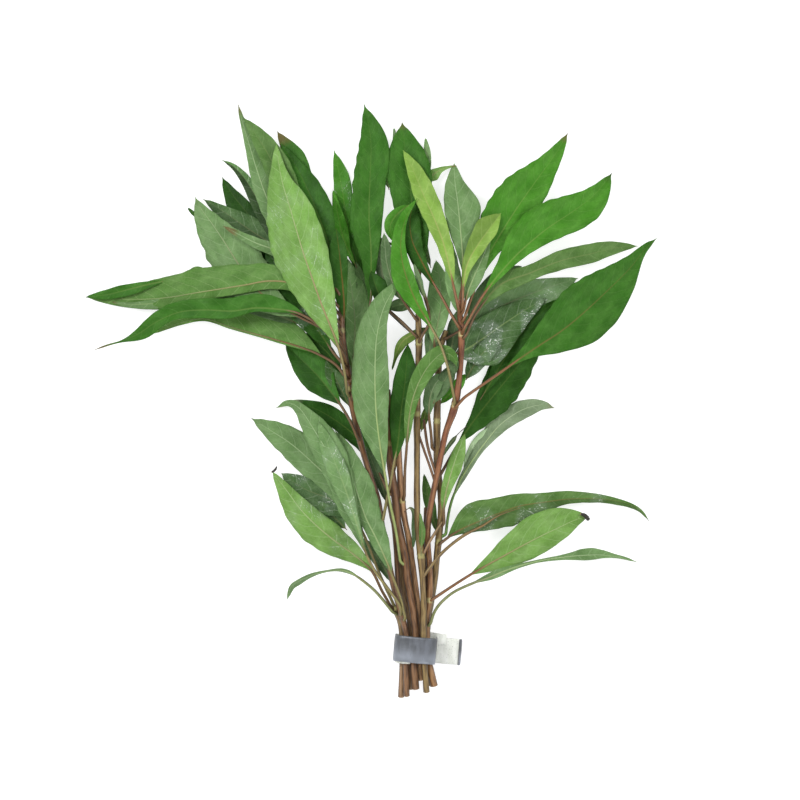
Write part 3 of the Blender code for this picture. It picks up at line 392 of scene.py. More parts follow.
LEAF_ROUTES = (
    LeafRoute(
        "leaf_right_1", "stem_8", 0.18,
        Look(Tone.UNDER_DULL, tip=Mark(0.93, BROWNISH_TIP, 0.6), stalk=LEAF_STALK, rib=PALE_RIB),
        midrib=((446, 533), (448, 517), (452, 500), (460.5, 480), (472, 461), (485, 443), (500, 425),
                (520, 411), (540, 405), (555, 408)),
        left=(1.2, 2.4, 4.4, 3.6), right=(1.6, 1.6, 3.2, 3.6), fold=-0.08),
    LeafRoute(
        "leaf_right_2", "stem_8", 0.18, Look(Tone.UPPER_DARK),
        midrib=((441, 474), (455, 449), (470, 426), (490, 400), (513, 372), (533, 348), (548, 328)),
        left=(2.2, 6.4, 9.0, 6.4), right=(4.6, 7.6, 7.2, 4.0)),
    LeafRoute(
        "leaf_right_3", "stem_8", 0.1, Look(Tone.UNDER_GREY, left=1.5, right=1.6, wet_and_glints=0.7),
        midrib=((447, 338), (466, 327), (490, 312), (520, 298), (550, 287), (578, 278)),
        left=(5.6, 7.2, 6.0, 3.4), right=(4.0, 6.0, 7.2, 5.6)),
    LeafRoute(
        "leaf_right_4", "stem_8", 0.1, Look(Tone.UPPER_WET, wet_and_glints=1.3, rib=PALE_RIB),
        midrib=((444, 357), (465, 350), (485, 337), (505, 323), (525, 310), (546, 298)),
        left=(7.0, 7.6, 6.4, 4.0), right=(10.5, 10.5, 7.4, 4.2)),
    LeafRoute(
        "leaf_top_1", "stem_2", 0.42, Look(Tone.UPPER_BRIGHT, wet_and_glints=0.3),
        midrib=((353, 384), (362, 345), (364, 305), (359, 275), (352, 248), (346, 218), (342, 188),
                (334, 150)),
        left=(2.0, 3.0, 3.8, 2.6), right=(1.6, 2.4, 3.6, 3.8)),
    LeafRoute(
        "leaf_top_2", "stem_2", 0.08, Look(Tone.UNDER_PALE, left=1.7, right=1.7),
        midrib=((353, 376), (354, 350), (355, 325), (353, 300), (349, 275), (345, 256)),
        left=(3.0, 3.6, 3.4, 2.2), right=(3.8, 5.6, 6.0, 4.2), fold=-0.08),
    LeafRoute(
        "leaf_left_1", "stem_4", 0.12, Look(Tone.UPPER_DARK, tip=Mark(0.8, PALE_TIP, 0.8)),
        midrib=((388, 492), (378, 470), (366, 449), (352, 433), (335, 420), (318, 410), (300, 404),
                (287, 404), (276, 408)),
        left=(2.4, 3.6, 2.8, 1.6), right=(2.4, 3.8, 4.2, 2.0)),
    LeafRoute(
        "leaf_left_2", "stem_2", 0.18, Look(Tone.UPPER_WET, wet_and_glints=0.6),
        midrib=((382, 540), (368, 527), (350, 511), (330, 499), (305, 489), (281, 473)),
        left=(3.2, 6.4, 7.0, 4.4), right=(3.0, 5.0, 5.6, 4.2)),
    LeafRoute(
        "leaf_left_3", "stem_1", 0.3,
        Look(Tone.UNDER_PALE, tip=Mark(0.975, BLACK_TIP, 0.9), stalk=OLIVE_STALK),
        midrib=((391.5, 600), (380, 575), (364, 535), (348, 506), (330, 480), (310, 460), (290, 443),
                (270, 430), (251, 418)),
        left=(3.0, 5.0, 6.4, 4.6), right=(3.0, 5.0, 6.4, 5.4), fold=-0.1),
    LeafRoute(
        "leaf_left_4", "stem_1", 0.2, Look(Tone.UNDER_BRIGHT, wet_and_glints=0.35),
        midrib=((390, 605), (382, 591), (371, 570), (353, 554), (335, 541), (318, 527), (302, 511),
                (287, 491), (272, 471)),
        left=(3.8, 7.0, 7.2, 4.6), right=(4.0, 5.6, 4.8, 2.8), fold=-0.12),
    LeafRoute(
        "leaf_left_5", "stem_2", 0.22, Look(Tone.UNDER_PALE, stalk=OLIVE_STALK),
        midrib=((405, 617), (401, 600), (395, 583), (386, 560), (376, 538), (366, 518), (358, 495),
                (350, 470), (343, 448), (335, 430)),
        left=(2.6, 2.8, 3.0, 2.2), right=(4.0, 6.4, 7.0, 4.6), fold=-0.12),
    LeafRoute(
        "leaf_left_6", "stem_1", 0.22, Look(Tone.UNDER_PALE, stalk=OLIVE_STALK),
        midrib=((396.5, 600), (386, 586), (373, 568), (364, 548), (355, 525), (347, 500), (338, 475),
                (326, 450), (313, 428), (300, 409), (288, 403), (276, 408)),
        left=(2.2, 4.6, 5.0, 5.4, 4.8, 2.4), right=(2.0, 3.6, 5.4, 6.8, 5.8, 2.4), fold=-0.12),
    LeafRoute(
        "leaf_left_7", "stem_1", 0.32, Look(Tone.UNDER_PALE, stalk=GREEN_STALK),
        midrib=((391, 610), (383, 600), (374, 590), (362, 580), (351, 573), (340, 570), (327, 571),
                (312, 575), (299, 581), (291, 587), (287, 600)),
        left=(0.9, 0.5, 1.0, 1.7), right=(0.9, 0.5, 0.9, 0.8), fold=0.0, roll=2.2),
    LeafRoute(
        "leaf_left_8", "stem_2", 0.15, Look(Tone.UPPER_MID, tip=Mark(0.85, BROWNISH_TIP, 0.8)),
        midrib=((337.5, 284), (325, 255), (315, 220), (305, 190), (293, 160), (277, 131)),
        left=(3.0, 4.4, 5.0, 3.4), right=(3.0, 4.4, 5.0, 4.8)),
    LeafRoute(
        "leaf_left_9", "stem_2", 0.08, Look(Tone.UPPER_DARK, left=1.7, right=1.2),
        midrib=((337.5, 276), (331, 252), (322, 225), (310, 195), (297, 168), (281, 143)),
        left=(3.0, 5.0, 5.6, 4.4), right=(3.8, 6.2, 5.6, 2.8)),
    LeafRoute(
        "leaf_left_10", "stem_2", 0.25, Look(Tone.UPPER_DARK, left=0.8, right=0.7),
        midrib=((337, 320), (318, 298), (298, 272), (280, 250), (260, 228), (243, 208), (232, 194),
                (222, 177)),
        left=(4.0, 6.4, 7.0, 4.6), right=(3.0, 4.0, 4.2, 3.0)),
    LeafRoute(
        "leaf_left_11", "stem_2", 0.32, Look(Tone.UPPER_WET, left=0.7),
        midrib=((337, 327), (318, 296), (298, 262), (275, 246), (250, 230), (230, 216), (215, 206),
                (203, 199)),
        left=(3.0, 3.2, 3.6, 3.4), right=(5.6, 6.4, 5.2, 2.6)),
    LeafRoute(
        "leaf_left_12", "stem_2", 0.25, Look(Tone.UPPER_WET, left=0.5, right=1.6),
        midrib=((338, 313), (320, 290), (302, 266), (285, 243), (268, 218), (255, 195), (245, 179),
                (234, 167), (222, 160)),
        left=(3.0, 3.8, 3.4, 2.0), right=(3.0, 3.6, 3.2, 2.0)),
    LeafRoute(
        "leaf_left_13", "stem_2", 0.2, Look(Tone.UNDER_PALE, tip=Mark(0.9, BROWNISH_TIP, 0.8)),
        midrib=((338, 299), (322, 282), (302, 258), (284, 230), (268, 200), (257, 170), (248, 140),
                (242, 120), (238, 104)),
        left=(4.0, 4.4, 3.2, 1.6), right=(4.0, 5.0, 4.8, 2.0), fold=-0.1),
    LeafRoute(
        "leaf_left_14", "stem_2", 0.2, Look(Tone.UPPER_SAGE),
        midrib=((338, 292), (325, 272), (308, 243), (292, 208), (280, 178), (268, 154), (256, 135),
                (243, 117)),
        left=(3.0, 4.4, 4.4, 3.2), right=(3.0, 5.4, 6.2, 4.6)),
    LeafRoute(
        "leaf_left_15", "stem_2", 0.3, Look(Tone.UPPER_DARK, right=1.6),
        midrib=((357, 437), (350, 421), (340, 404), (330, 391), (318, 376), (302, 360), (285, 344)),
        left=(4.0, 6.6, 6.4, 4.0), right=(3.0, 6.0, 7.0, 4.4), fold=0.16),
    LeafRoute(
        "leaf_left_16", "stem_2", 0.15, Look(Tone.UNDER_GREEN, end=1.4, rib=BROWN_RIB),
        midrib=((345, 376), (335, 364), (318, 354), (300, 347), (280, 341), (255, 334), (230, 327),
                (205, 319), (180, 323), (152, 334)),
        left=(1.0, 0.8, 0.8, 1.0), right=(8.4, 8.6, 6.0, 3.2), fold=-0.06),
    LeafRoute(
        "leaf_left_17", "stem_2", 0.12, Look(Tone.UPPER_DARK, wet_and_glints=0.8),
        midrib=((343, 364), (333, 352), (320, 333), (305, 312), (292, 290), (280, 270), (265, 249)),
        left=(3.8, 5.6, 6.0, 5.2), right=(3.6, 5.6, 6.0, 4.6)),
    LeafRoute(
        "leaf_left_18", "stem_2", 0.2, Look(Tone.UNDER_PALE, rib=BROWN_RIB),
        midrib=((337.5, 335), (302, 318), (272, 302), (252, 284), (237, 262), (225, 243), (213, 225),
                (202, 210), (195, 197)),
        left=(5.0, 8.6, 9.4, 7.2), right=(5.0, 9.6, 9.0, 4.4), fold=-0.1),
    LeafRoute(
        "leaf_left_19", "stem_2", 0.14, Look(Tone.UNDER_GREEN, rib=OLIVE_STALK),
        midrib=((339, 342), (318, 306), (295, 285), (270, 281), (245, 285), (220, 289), (195, 293),
                (172, 297), (150, 299), (118, 299), (85, 297)),
        left=(3.0, 3.2, 3.2, 3.4, 4.2, 3.0), right=(4.8, 7.4, 9.2, 9.2, 7.6, 4.6), fold=-0.06),
    LeafRoute(
        "leaf_left_20", "stem_2", 0.18, Look(Tone.UPPER_MID, tip=Mark(0.88, BROWNISH_TIP, 0.9)),
        midrib=((340, 349), (320, 326), (298, 313), (275, 309), (255, 308), (232, 311), (205, 310),
                (180, 312), (158, 321), (138, 334), (122, 341), (108, 345), (94, 350)),
        left=(1.4, 1.6, 3.2, 3.2, 2.4, 3.4, 0.5), right=(4.6, 5.6, 5.0, 4.4, 4.2, 2.6, 0.4), fold=0.08),
    LeafRoute(
        "leaf_left_21", "stem_2", 0.3, Look(Tone.UNDER_PALE, tip=Mark(0.8, BROWNISH_TIP, 0.8)),
        midrib=((338, 306), (318, 284), (298, 264), (277, 251), (256, 243), (238, 234), (223, 226)),
        left=(2.2, 2.6, 2.2, 1.5), right=(2.2, 2.6, 2.2, 1.5), fold=0.4),
    LeafRoute(
        "leaf_left_22", "stem_2", 0.17,
        Look(Tone.UNDER_BRIGHT, right=1.15, wet_and_glints=0.3, stalk=OLIVE_STALK, rib=PINK_RIB),
        midrib=((347, 392), (344, 370), (338, 346), (330, 325), (321, 303), (311, 275), (304, 255),
                (297, 232), (290, 208), (283, 185), (279, 165), (276, 143)),
        left=(4.6, 8.6, 11.2, 11.6, 9.0, 4.4), right=(3.8, 7.2, 9.2, 9.8, 7.6, 3.0), fold=-0.1),
    LeafRoute(
        "leaf_top_3", "stem_2", 0.28, Look(Tone.UPPER_MID),
        midrib=((354, 388), (362, 345), (370, 305), (371, 275), (371, 250), (369, 215), (370, 180),
                (371, 145), (368, 122), (364, 104)),
        left=(3.4, 7.4, 6.8, 4.8), right=(2.0, 5.0, 6.4, 7.0), fold=0.1),
    LeafRoute(
        "leaf_top_4", "stem_6", 0.4, Look(Tone.UPPER_DARK, left=0.6),
        midrib=((414, 334), (402, 322), (388, 309), (380, 296), (375, 284), (371, 271)),
        left=(1.8, 2.4, 2.4, 2.0), right=(2.6, 4.8, 5.4, 3.2)),
    LeafRoute(
        "leaf_top_5", "stem_6", 0.22, Look(Tone.UNDER_GREY),
        midrib=((415, 318), (404, 302), (394, 286), (387, 264), (385, 246), (384, 233)),
        left=(2.0, 2.4, 2.2, 1.8), right=(2.0, 3.0, 3.0, 2.4)),
    LeafRoute(
        "leaf_top_7", "stem_8", 0.08, Look(Tone.UNDER_PALE, left=1.7, right=1.5),
        midrib=((435.5, 353), (434.5, 340), (438, 322), (441, 304), (440, 282), (436, 260)),
        left=(3.6, 5.2, 5.4, 3.8), right=(2.8, 3.6, 3.8, 3.0), fold=-0.08),
    LeafRoute(
        "leaf_top_6", "stem_6", 0.28, Look(Tone.UPPER_MID, tip=Mark(0.93, BROWNISH_TIP, 0.6)),
        midrib=((422, 336), (429, 322), (427, 303), (421, 283), (418, 260), (415, 235), (412, 205),
                (409, 175), (405, 148), (402, 122)),
        left=(4.6, 6.6, 8.4, 7.4), right=(4.6, 7.0, 9.0, 7.4), fold=0.1),
    LeafRoute(
        "leaf_right_5", "stem_7", 0.14, Look(Tone.UPPER_SAGE),
        midrib=((466, 335), (477, 312), (500, 285), (530, 273), (560, 261), (590, 254), (615, 248),
                (638, 246)),
        left=(3.8, 3.2, 4.2, 3.6), right=(3.8, 3.0, 3.8, 3.2), fold=0.06),
    LeafRoute(
        "leaf_right_6", "stem_7", 0.16,
        Look(Tone.UPPER_BRIGHT, tip=Mark(0.92, BROWNISH_TIP, 0.9), stalk=RED_STALK),
        midrib=((464.5, 318), (473, 293), (485, 262), (500, 235), (517, 208), (536, 181), (554, 156),
                (568, 133)),
        left=(6.5, 11.0, 9.8, 4.4), right=(3.0, 6.4, 7.2, 4.4)),
    LeafRoute(
        "leaf_right_7", "stem_7", 0.16,
        Look(Tone.UPPER_BRIGHT, tip=Mark(0.92, BLACK_TIP, 0.7), stalk=RED_STALK),
        midrib=((465.5, 326), (478, 303), (492, 283), (508, 264), (525, 247), (548, 228), (575, 210),
                (595, 194), (612, 173)),
        left=(3.8, 9.6, 9.2, 4.6), right=(2.0, 3.8, 6.8, 7.6), fold=0.1),
    LeafRoute(
        "leaf_right_8", "stem_7", 0.22, Look(Tone.UPPER_MID, stalk=RED_STALK, rib=BROWN_RIB),
        midrib=((458.5, 404), (464, 398), (470, 393.5), (480, 386.5), (490, 379.5), (503, 370.5),
                (520, 358.5), (540, 345), (560, 332), (580, 316), (605, 293), (630, 268), (645, 249),
                (657, 238)),
        left=(3.4, 8.0, 11.4, 11.0, 7.4, 3.4), right=(2.4, 7.2, 11.4, 11.4, 7.8, 2.4), fold=0.1),
    LeafRoute(
        "leaf_top_8", "stem_7", 0.16, Look(Tone.UNDER_PALE, stalk=RED_STALK),
        midrib=((460.5, 295), (462.5, 284), (463, 262), (461, 235), (458, 205), (455, 182), (454, 163)),
        left=(2.4, 4.6, 5.6, 4.2), right=(3.0, 7.2, 8.8, 4.4), fold=-0.1),
    LeafRoute(
        "leaf_right_9", "stem_7", 0.1, Look(Tone.UNDER_PALE, stalk=RED_STALK),
        midrib=((463.5, 310), (467, 295), (473, 279), (480, 263), (486, 249), (490, 236)),
        left=(2.0, 2.8, 2.6, 2.0), right=(2.4, 3.4, 2.8, 1.6), fold=-0.06),
    LeafRoute(
        "leaf_right_10", "stem_7", 0.12, Look(Tone.YOUNG, left=0.75, stalk=RED_STALK),
        midrib=((462.5, 303), (463.5, 285), (467, 265), (477, 246), (490, 228), (501, 213)),
        left=(1.2, 2.8, 4.4, 5.4), right=(1.6, 3.0, 3.4, 3.2), fold=0.2),
    LeafRoute(
        "leaf_top_9", "stem_7", 0.3, Look(Tone.UPPER_DARK, stalk=RED_STALK, rib=RED_RIB),
        midrib=((457.5, 325), (450, 312), (440, 294), (430, 277), (420, 258), (412, 240), (410, 220),
                (414, 201)),
        left=(1.8, 3.2, 2.6, 1.6), right=(1.2, 2.6, 4.0, 4.2)),
    LeafRoute(
        "leaf_top_10", "stem_7", 0.1, Look(Tone.YOUNG, stalk=RED_STALK),
        midrib=((457, 302), (453.5, 286), (449, 265), (443, 242), (434, 218), (424, 196), (414, 172),
                (403, 150)),
        left=(2.2, 3.4, 4.0, 3.0), right=(2.8, 3.8, 4.8, 4.0), fold=0.25),
    LeafRoute(
        "leaf_middle_2", "stem_2", 0.3, Look(Tone.UPPER_DARK, stalk=OLIVE_STALK),
        midrib=((384, 514), (388, 494), (393, 468), (398, 442), (401, 412), (405, 382), (408, 343)),
        left=(3.0, 4.4, 4.8, 3.6), right=(2.4, 3.6, 4.4, 3.8)),
    LeafRoute(
        "leaf_middle_1", "stem_4", 0.3, Look(Tone.UNDER_PALE, stalk=PALE_STALK, rib=PALE_RIB),
        midrib=((400, 560), (396, 532), (390, 503), (385, 475), (380, 445), (376, 410), (375, 370),
                (377, 335), (385, 305), (402, 277)),
        left=(4.4, 8.0, 9.2, 8.8, 7.6, 4.6), right=(3.2, 4.6, 5.6, 5.0, 3.6, 2.0), fold=-0.1),
    LeafRoute(
        "leaf_middle_4", "stem_8", 0.38, Look(Tone.UNDER_GREY),
        midrib=((432, 447), (431, 433), (429, 415), (430, 398), (436, 383), (447, 374)),
        left=(2.2, 2.8, 3.0, 2.6), right=(1.8, 2.6, 3.0, 2.6)),
    LeafRoute(
        "leaf_middle_3", "stem_5", 0.26, Look(Tone.UNDER_GREEN),
        midrib=((404.5, 495), (405, 470), (406.5, 450), (408, 430), (410, 412), (414, 395), (421, 378),
                (431, 363), (443, 353), (453, 357), (457, 367)),
        left=(1.8, 2.8, 3.8, 3.6), right=(1.6, 2.4, 3.4, 3.6)),
    LeafRoute(
        "leaf_middle_5", "stem_7", 0.34, Look(Tone.UPPER_BRIGHT, stalk=OLIVE_STALK, rib=BROWN_RIB),
        midrib=((454.5, 400), (451, 381), (447, 364), (441, 346), (430, 325), (417, 303), (408, 282),
                (402, 260), (401, 240), (406, 218), (417, 198)),
        left=(3.0, 5.6, 4.0, 3.0), right=(2.4, 3.2, 2.2, 1.0)),
    LeafRoute(
        "leaf_right_11", "stem_8", 0.1, Look(Tone.UNDER_BRIGHT),
        midrib=((444, 522), (444, 505), (447, 488), (452, 470), (458, 452), (465, 434)),
        left=(1.8, 2.4, 2.4, 2.0), right=(1.4, 2.8, 3.6, 2.8), fold=-0.1),
    LeafRoute(
        "leaf_right_12", "stem_8", 0.03, Look(Tone.UPPER_SAGE, right=0.7, wet_and_glints=0.5, rib=BROWN_RIB),
        midrib=((442, 542), (453, 534), (466, 527), (480, 521), (500, 513), (520, 506), (545, 502),
                (570, 499), (600, 499), (625, 503), (640, 510), (649, 521)),
        left=(8.0, 6.2, 4.2, 3.4, 2.2, 0.9), right=(3.6, 6.4, 5.6, 2.2, 1.6, 1.4), fold=0.08),
    LeafRoute(
        "leaf_right_13", "stem_7", 0.24,
        Look(Tone.UNDER_BRIGHT, tip=Mark(0.94, BLACK_TIP, 1.0), stalk=RED_STALK, rib=OLIVE_STALK),
        midrib=((434.5, 598), (442, 593), (451, 587), (465, 578), (480, 569), (500, 558), (520, 547),
                (541, 536), (560, 527), (575, 520), (589, 516)),
        left=(3.6, 7.0, 9.2, 7.4), right=(3.8, 6.2, 6.4, 4.6), fold=-0.1),
    LeafRoute(
        "leaf_right_14", "stem_7", 0.25, Look(Tone.UNDER_PALE, stalk=GREEN_STALK),
        midrib=((431, 622), (434, 613), (439, 605), (446, 598), (454, 592), (464, 587), (476, 582),
                (490, 577), (510, 569), (530, 563), (550, 559), (575, 556), (600, 555), (622, 558),
                (637, 562)),
        left=(1.8, 1.0, 0.6, 1.1, 2.8, 1.2), right=(1.4, 0.9, 0.6, 1.2, 2.0, 0.6), fold=-0.05, roll=0.5),
)

# Small leaves and tips that show between the others and have no solid of their own
SMALL_LEAVES = (
    LeafRoute(
        "small_leaf_1", "", 0.05, Look(Tone.UPPER_BRIGHT, left=1.2, right=1.2),
        midrib=((357, 268), (351, 256), (345, 243), (340, 225), (336, 205), (333, 190)),
        left=(1.6, 3.2, 3.4, 1.6), right=(1.2, 2.6, 2.6, 1.4), heights=(4.5, 4.0, 3.5),
        slot_of="leaf_top_1"),
    LeafRoute(
        "small_leaf_2", "", 0.05, Look(Tone.UPPER_BRIGHT),
        midrib=((411, 204), (402, 210), (394, 218), (390, 228), (393, 241)),
        left=(1.8, 2.5, 2.3, 1.6), right=(1.8, 2.6, 2.6, 1.8), heights=(8.5, 8.0, 7.0, 6.5),
        slot_of="leaf_top_9"),
    LeafRoute(
        "small_leaf_3", "", 0.05, Look(Tone.UNDER_PALE, left=0.85, right=0.85),
        midrib=((418, 300), (410, 302), (400, 305), (387, 308)),
        left=(2.0, 2.6, 2.6, 1.8), right=(1.6, 2.4, 2.6, 2.0), heights=(7.5, 7.0, 6.0),
        slot_of="leaf_top_5"),
    LeafRoute(
        "small_leaf_4", "", 0.05, Look(Tone.YOUNG, left=0.7, right=0.7),
        midrib=((432, 326), (423, 330), (412, 335), (403, 341), (397, 352), (392, 370)),
        left=(2.0, 2.4, 2.0, 0.8), right=(1.4, 1.4, 1.6, 0.6), heights=(9.0, 9.0, 8.5, 8.0),
        slot_of="leaf_top_4"),
    LeafRoute(
        "small_leaf_5", "", 0.05, Look(Tone.UNDER_PALE),
        midrib=((424, 180), (426, 165), (427, 152), (425.5, 138)),
        left=(1.6, 1.6, 1.2), right=(2.0, 1.8, 1.2), heights=(1.8, 1.5, 1.2), slot_of="leaf_top_6"),
    LeafRoute(
        "small_leaf_6", "", 0.05, Look(Tone.UNDER_BRIGHT, tip=Mark(0.8, BROWNISH_TIP, 0.8)),
        midrib=((427, 184), (432, 176), (440, 170), (449, 167), (457, 166)),
        left=(2.2, 1.2, 0.6), right=(2.6, 1.4, 0.6), heights=(1.8, 1.6, 1.4), slot_of="leaf_top_6"),
    LeafRoute(
        "small_leaf_7", "", 0.05, Look(Tone.UNDER_PALE, left=1.4, right=1.4),
        midrib=((461, 320), (457, 300), (453, 280), (451, 258), (451, 240)),
        left=(2.4, 3.2, 2.8, 2.0), right=(2.4, 3.4, 3.2, 2.2), heights=(13.5, 13.0, 12.5, 12.0),
        slot_of="leaf_top_8"),
    LeafRoute(
        "small_leaf_8", "", 0.05, Look(Tone.UNDER_GREY, left=0.9, right=0.9),
        midrib=((466, 326), (474, 308), (485, 291), (500, 275), (522, 266)),
        left=(2.2, 3.0, 2.8, 2.0), right=(2.4, 3.6, 3.4, 2.2), heights=(9.0, 8.0, 7.0, 6.5),
        slot_of="leaf_right_9"),
    LeafRoute(
        "small_leaf_9", "", 0.05, Look(Tone.UPPER_DARK),
        midrib=((480, 400), (491, 382), (505, 358), (522, 333), (542, 312), (558, 299)),
        left=(2.6, 4.4, 4.4, 2.6), right=(2.4, 4.6, 4.8, 3.0), heights=(2.6, 2.6, 2.4, 2.2),
        slot_of="leaf_right_2"),
    LeafRoute(
        "small_leaf_10", "", 0.02, Look(Tone.UPPER_WET, wet_and_glints=1.4),
        midrib=((466, 380), (471, 370), (479, 358), (488, 347), (498, 338)),
        left=(2.6, 3.6, 3.6, 3.0), right=(2.8, 3.8, 4.2, 3.4), heights=(9.0, 9.2, 9.6, 9.8),
        slot_of="leaf_right_4"),
    LeafRoute(
        "small_leaf_11", "", 0.05, Look(Tone.UPPER_BRIGHT, left=1.3, right=1.3),
        midrib=((439, 405), (446, 398), (455, 388), (466, 374)),
        left=(1.8, 2.4, 2.0), right=(1.6, 2.2, 2.0), heights=(6.5, 7.0, 7.0), slot_of="leaf_right_2"),
    LeafRoute(
        "small_leaf_12", "", 0.05, Look(Tone.UNDER_DULL, left=2.0, right=2.0),
        midrib=((463, 476), (470, 458), (481, 441), (497, 424)),
        left=(2.0, 2.8, 2.4), right=(1.0, 1.6, 1.2), heights=(0.45, 0.45, 0.45), slot_of="leaf_right_1"),
    LeafRoute(
        "small_leaf_13", "", 0.35, Look(Tone.UNDER_GREY, left=0.6, right=0.6, stalk=DARK_STALK),
        midrib=((467, 426), (459, 433), (454, 439), (448, 447), (443, 456)),
        left=(0.9, 0.7), right=(0.9, 0.7), heights=(6.5, 6.0, 5.5), slot_of="leaf_right_2"),
    LeafRoute(
        "small_leaf_14", "", 0.05, Look(Tone.UNDER_GREEN, left=0.85, right=0.85),
        midrib=((441, 538), (435, 524), (431, 508), (427, 492), (424, 474)),
        left=(1.4, 2.2, 1.8), right=(1.4, 2.2, 1.8), heights=(4.5, 4.5, 4.5), slot_of="leaf_middle_4"),
    LeafRoute(
        "small_leaf_15", "", 0.2, Look(Tone.UPPER_SAGE, stalk=GREEN_STALK),
        midrib=((421, 556), (421.5, 543), (422, 530), (420, 513)),
        left=(1.0, 1.2, 0.7), right=(1.2, 1.4, 0.8), heights=(11.2, 11.4, 11.2), slot_of="leaf_middle_3"),
    LeafRoute(
        "small_leaf_16", "", 0.1, Look(Tone.UNDER_GREY, left=0.7, right=0.7),
        midrib=((404, 512), (410, 508), (414, 514), (414.5, 530), (413, 548)),
        left=(1.0, 1.4, 1.2, 0.8), right=(0.8, 1.2, 1.2, 0.8), heights=(7.5, 7.8, 7.5, 7.0),
        slot_of="leaf_middle_3"),
    LeafRoute(
        "small_leaf_17", "", 0.05, Look(Tone.UNDER_GREY, left=0.7, right=0.7),
        midrib=((388, 506), (382, 486), (374, 466), (366, 446)),
        left=(1.8, 2.2, 1.8), right=(1.8, 2.6, 2.0), heights=(5.0, 5.0, 5.0), slot_of="leaf_left_1"),
    LeafRoute(
        "small_leaf_18", "", 0.05, Look(Tone.UPPER_WET, wet_and_glints=0.8),
        midrib=((347, 530), (338, 521), (327, 511), (318, 501)),
        left=(2.4, 3.0, 2.4), right=(2.4, 3.0, 2.4), heights=(6.0, 6.0, 5.5), slot_of="leaf_left_2"),
    LeafRoute(
        "small_leaf_19", "", 0.05, Look(Tone.UPPER_DARK, left=0.7, right=0.7),
        midrib=((343, 376), (334, 361), (322, 347), (306, 333)),
        left=(2.0, 2.6, 2.4), right=(2.0, 2.8, 2.4), heights=(9.0, 8.5, 8.0), slot_of="leaf_left_15"),
    LeafRoute(
        "small_leaf_20", "", 0.05, Look(Tone.UNDER_GREY),
        midrib=((397, 168), (395.5, 150), (394, 128)),
        left=(1.0, 0.9), right=(1.2, 1.0), heights=(1.2, 1.0), slot_of="leaf_top_6"),
    LeafRoute(
        "small_leaf_21", "", 0.05, Look(Tone.UNDER_PALE),
        midrib=((389, 190), (387.5, 178), (389, 168), (393, 158)),
        left=(1.3, 1.6, 1.0), right=(1.8, 1.8, 1.2), heights=(2.5, 2.5, 2.5), slot_of="leaf_top_3"),
    LeafRoute(
        "small_leaf_22", "", 0.05, Look(Tone.UPPER_DARK),
        midrib=((203, 221), (198, 217), (193, 213), (188, 208)),
        left=(0.8, 0.8), right=(0.8, 0.8), heights=(3.0, 3.0), slot_of="leaf_left_11"),
    LeafRoute(
        "small_leaf_23", "", 0.05, Look(Tone.UNDER_GREEN, left=1.2, right=1.2),
        midrib=((214, 275), (204, 271.5), (196, 270), (188, 272)),
        left=(1.2, 1.4), right=(1.2, 1.4), heights=(6.5, 6.0), slot_of="leaf_left_19"),
    LeafRoute(
        "small_leaf_24", "", 0.05, Look(Tone.UNDER_GREY, left=0.7, right=0.7),
        midrib=((449, 362), (452, 345), (455, 328), (458, 310)),
        left=(2.2, 3.0, 2.6), right=(2.4, 3.0, 2.4), heights=(8.4, 8.2, 8.0), slot_of="leaf_right_3"),
    LeafRoute(
        "small_leaf_25", "", 0.05, Look(Tone.UPPER_DARK),
        midrib=((292, 290), (278, 272), (265, 256), (252, 243)),
        left=(2.4, 3.4, 2.8), right=(2.4, 3.4, 2.8), heights=(7.0, 6.5, 6.0), slot_of="leaf_left_10"),
    LeafRoute(
        "small_leaf_26", "", 0.05, Look(Tone.UNDER_GREY),
        midrib=((431, 268), (427, 254), (424, 240), (422.5, 224)),
        left=(1.2, 1.2, 1.0), right=(0.9, 1.1, 0.9), heights=(3.0, 3.0, 3.0), slot_of="leaf_top_7"),
    LeafRoute(
        "small_leaf_27", "", 0.05, Look(Tone.UNDER_GREY),
        midrib=((426, 300), (422, 290), (418.5, 278), (414, 264)),
        left=(1.0, 1.3, 1.0), right=(0.9, 1.3, 0.9), heights=(15.5, 15.5, 15.5), slot_of="leaf_middle_5"),
    # A darkened leaf-shaped filler where leaf_middle_4 casts shade: painted shade
    LeafRoute(
        "small_leaf_28", "", 0.05, Look(Tone.YOUNG, left=0.6, right=0.6),
        midrib=((421, 432), (424, 420), (427, 405)),
        left=(1.4, 1.4), right=(1.4, 1.6), heights=(5.0, 5.0), slot_of="leaf_middle_4"),
    LeafRoute(
        "small_leaf_29", "", 0.05, Look(Tone.UPPER_WET, left=0.9, right=0.9),
        midrib=((350, 408), (343, 393), (335, 377), (326, 360)),
        left=(2.0, 3.2, 3.0), right=(2.4, 3.6, 3.4), heights=(6.5, 6.5, 6.5), slot_of="leaf_left_15"),
    LeafRoute(
        "small_leaf_30", "", 0.05, Look(Tone.UNDER_PALE, left=1.1, right=1.1, wet_and_glints=0.6),
        midrib=((366, 556), (358, 528), (350, 503), (342, 480), (334, 460), (326, 440), (318, 421)),
        left=(1.6, 3.6, 4.4, 3.6), right=(1.2, 2.6, 3.6, 3.0),
        heights=(14.6, 15.7, 15.6, 15.4, 14.4, 12.8, 10.4), fold=-0.08, slot_of="leaf_left_6"),
    LeafRoute(
        "small_leaf_31", "", 0.05, Look(Tone.UPPER_DARK, rib=RED_RIB),
        midrib=((344, 324), (344, 302), (342, 278), (339.5, 254), (336, 228)),
        left=(3.0, 4.6, 5.0, 3.6), right=(1.2, 2.0, 2.8, 2.8), heights=(17.5, 17.5, 17.2, 16.6, 15.4),
        slot_of="leaf_left_9"),
    LeafRoute(
        "small_leaf_32", "", 0.05, Look(Tone.UNDER_GREEN, left=0.8, right=0.8),
        midrib=((352, 380), (351, 355), (349, 330), (347, 300)),
        left=(2.2, 2.8, 2.2), right=(2.2, 3.0, 2.4), heights=(7.5, 6.5, 5.0, 4.0), slot_of="leaf_top_2"),
    LeafRoute(
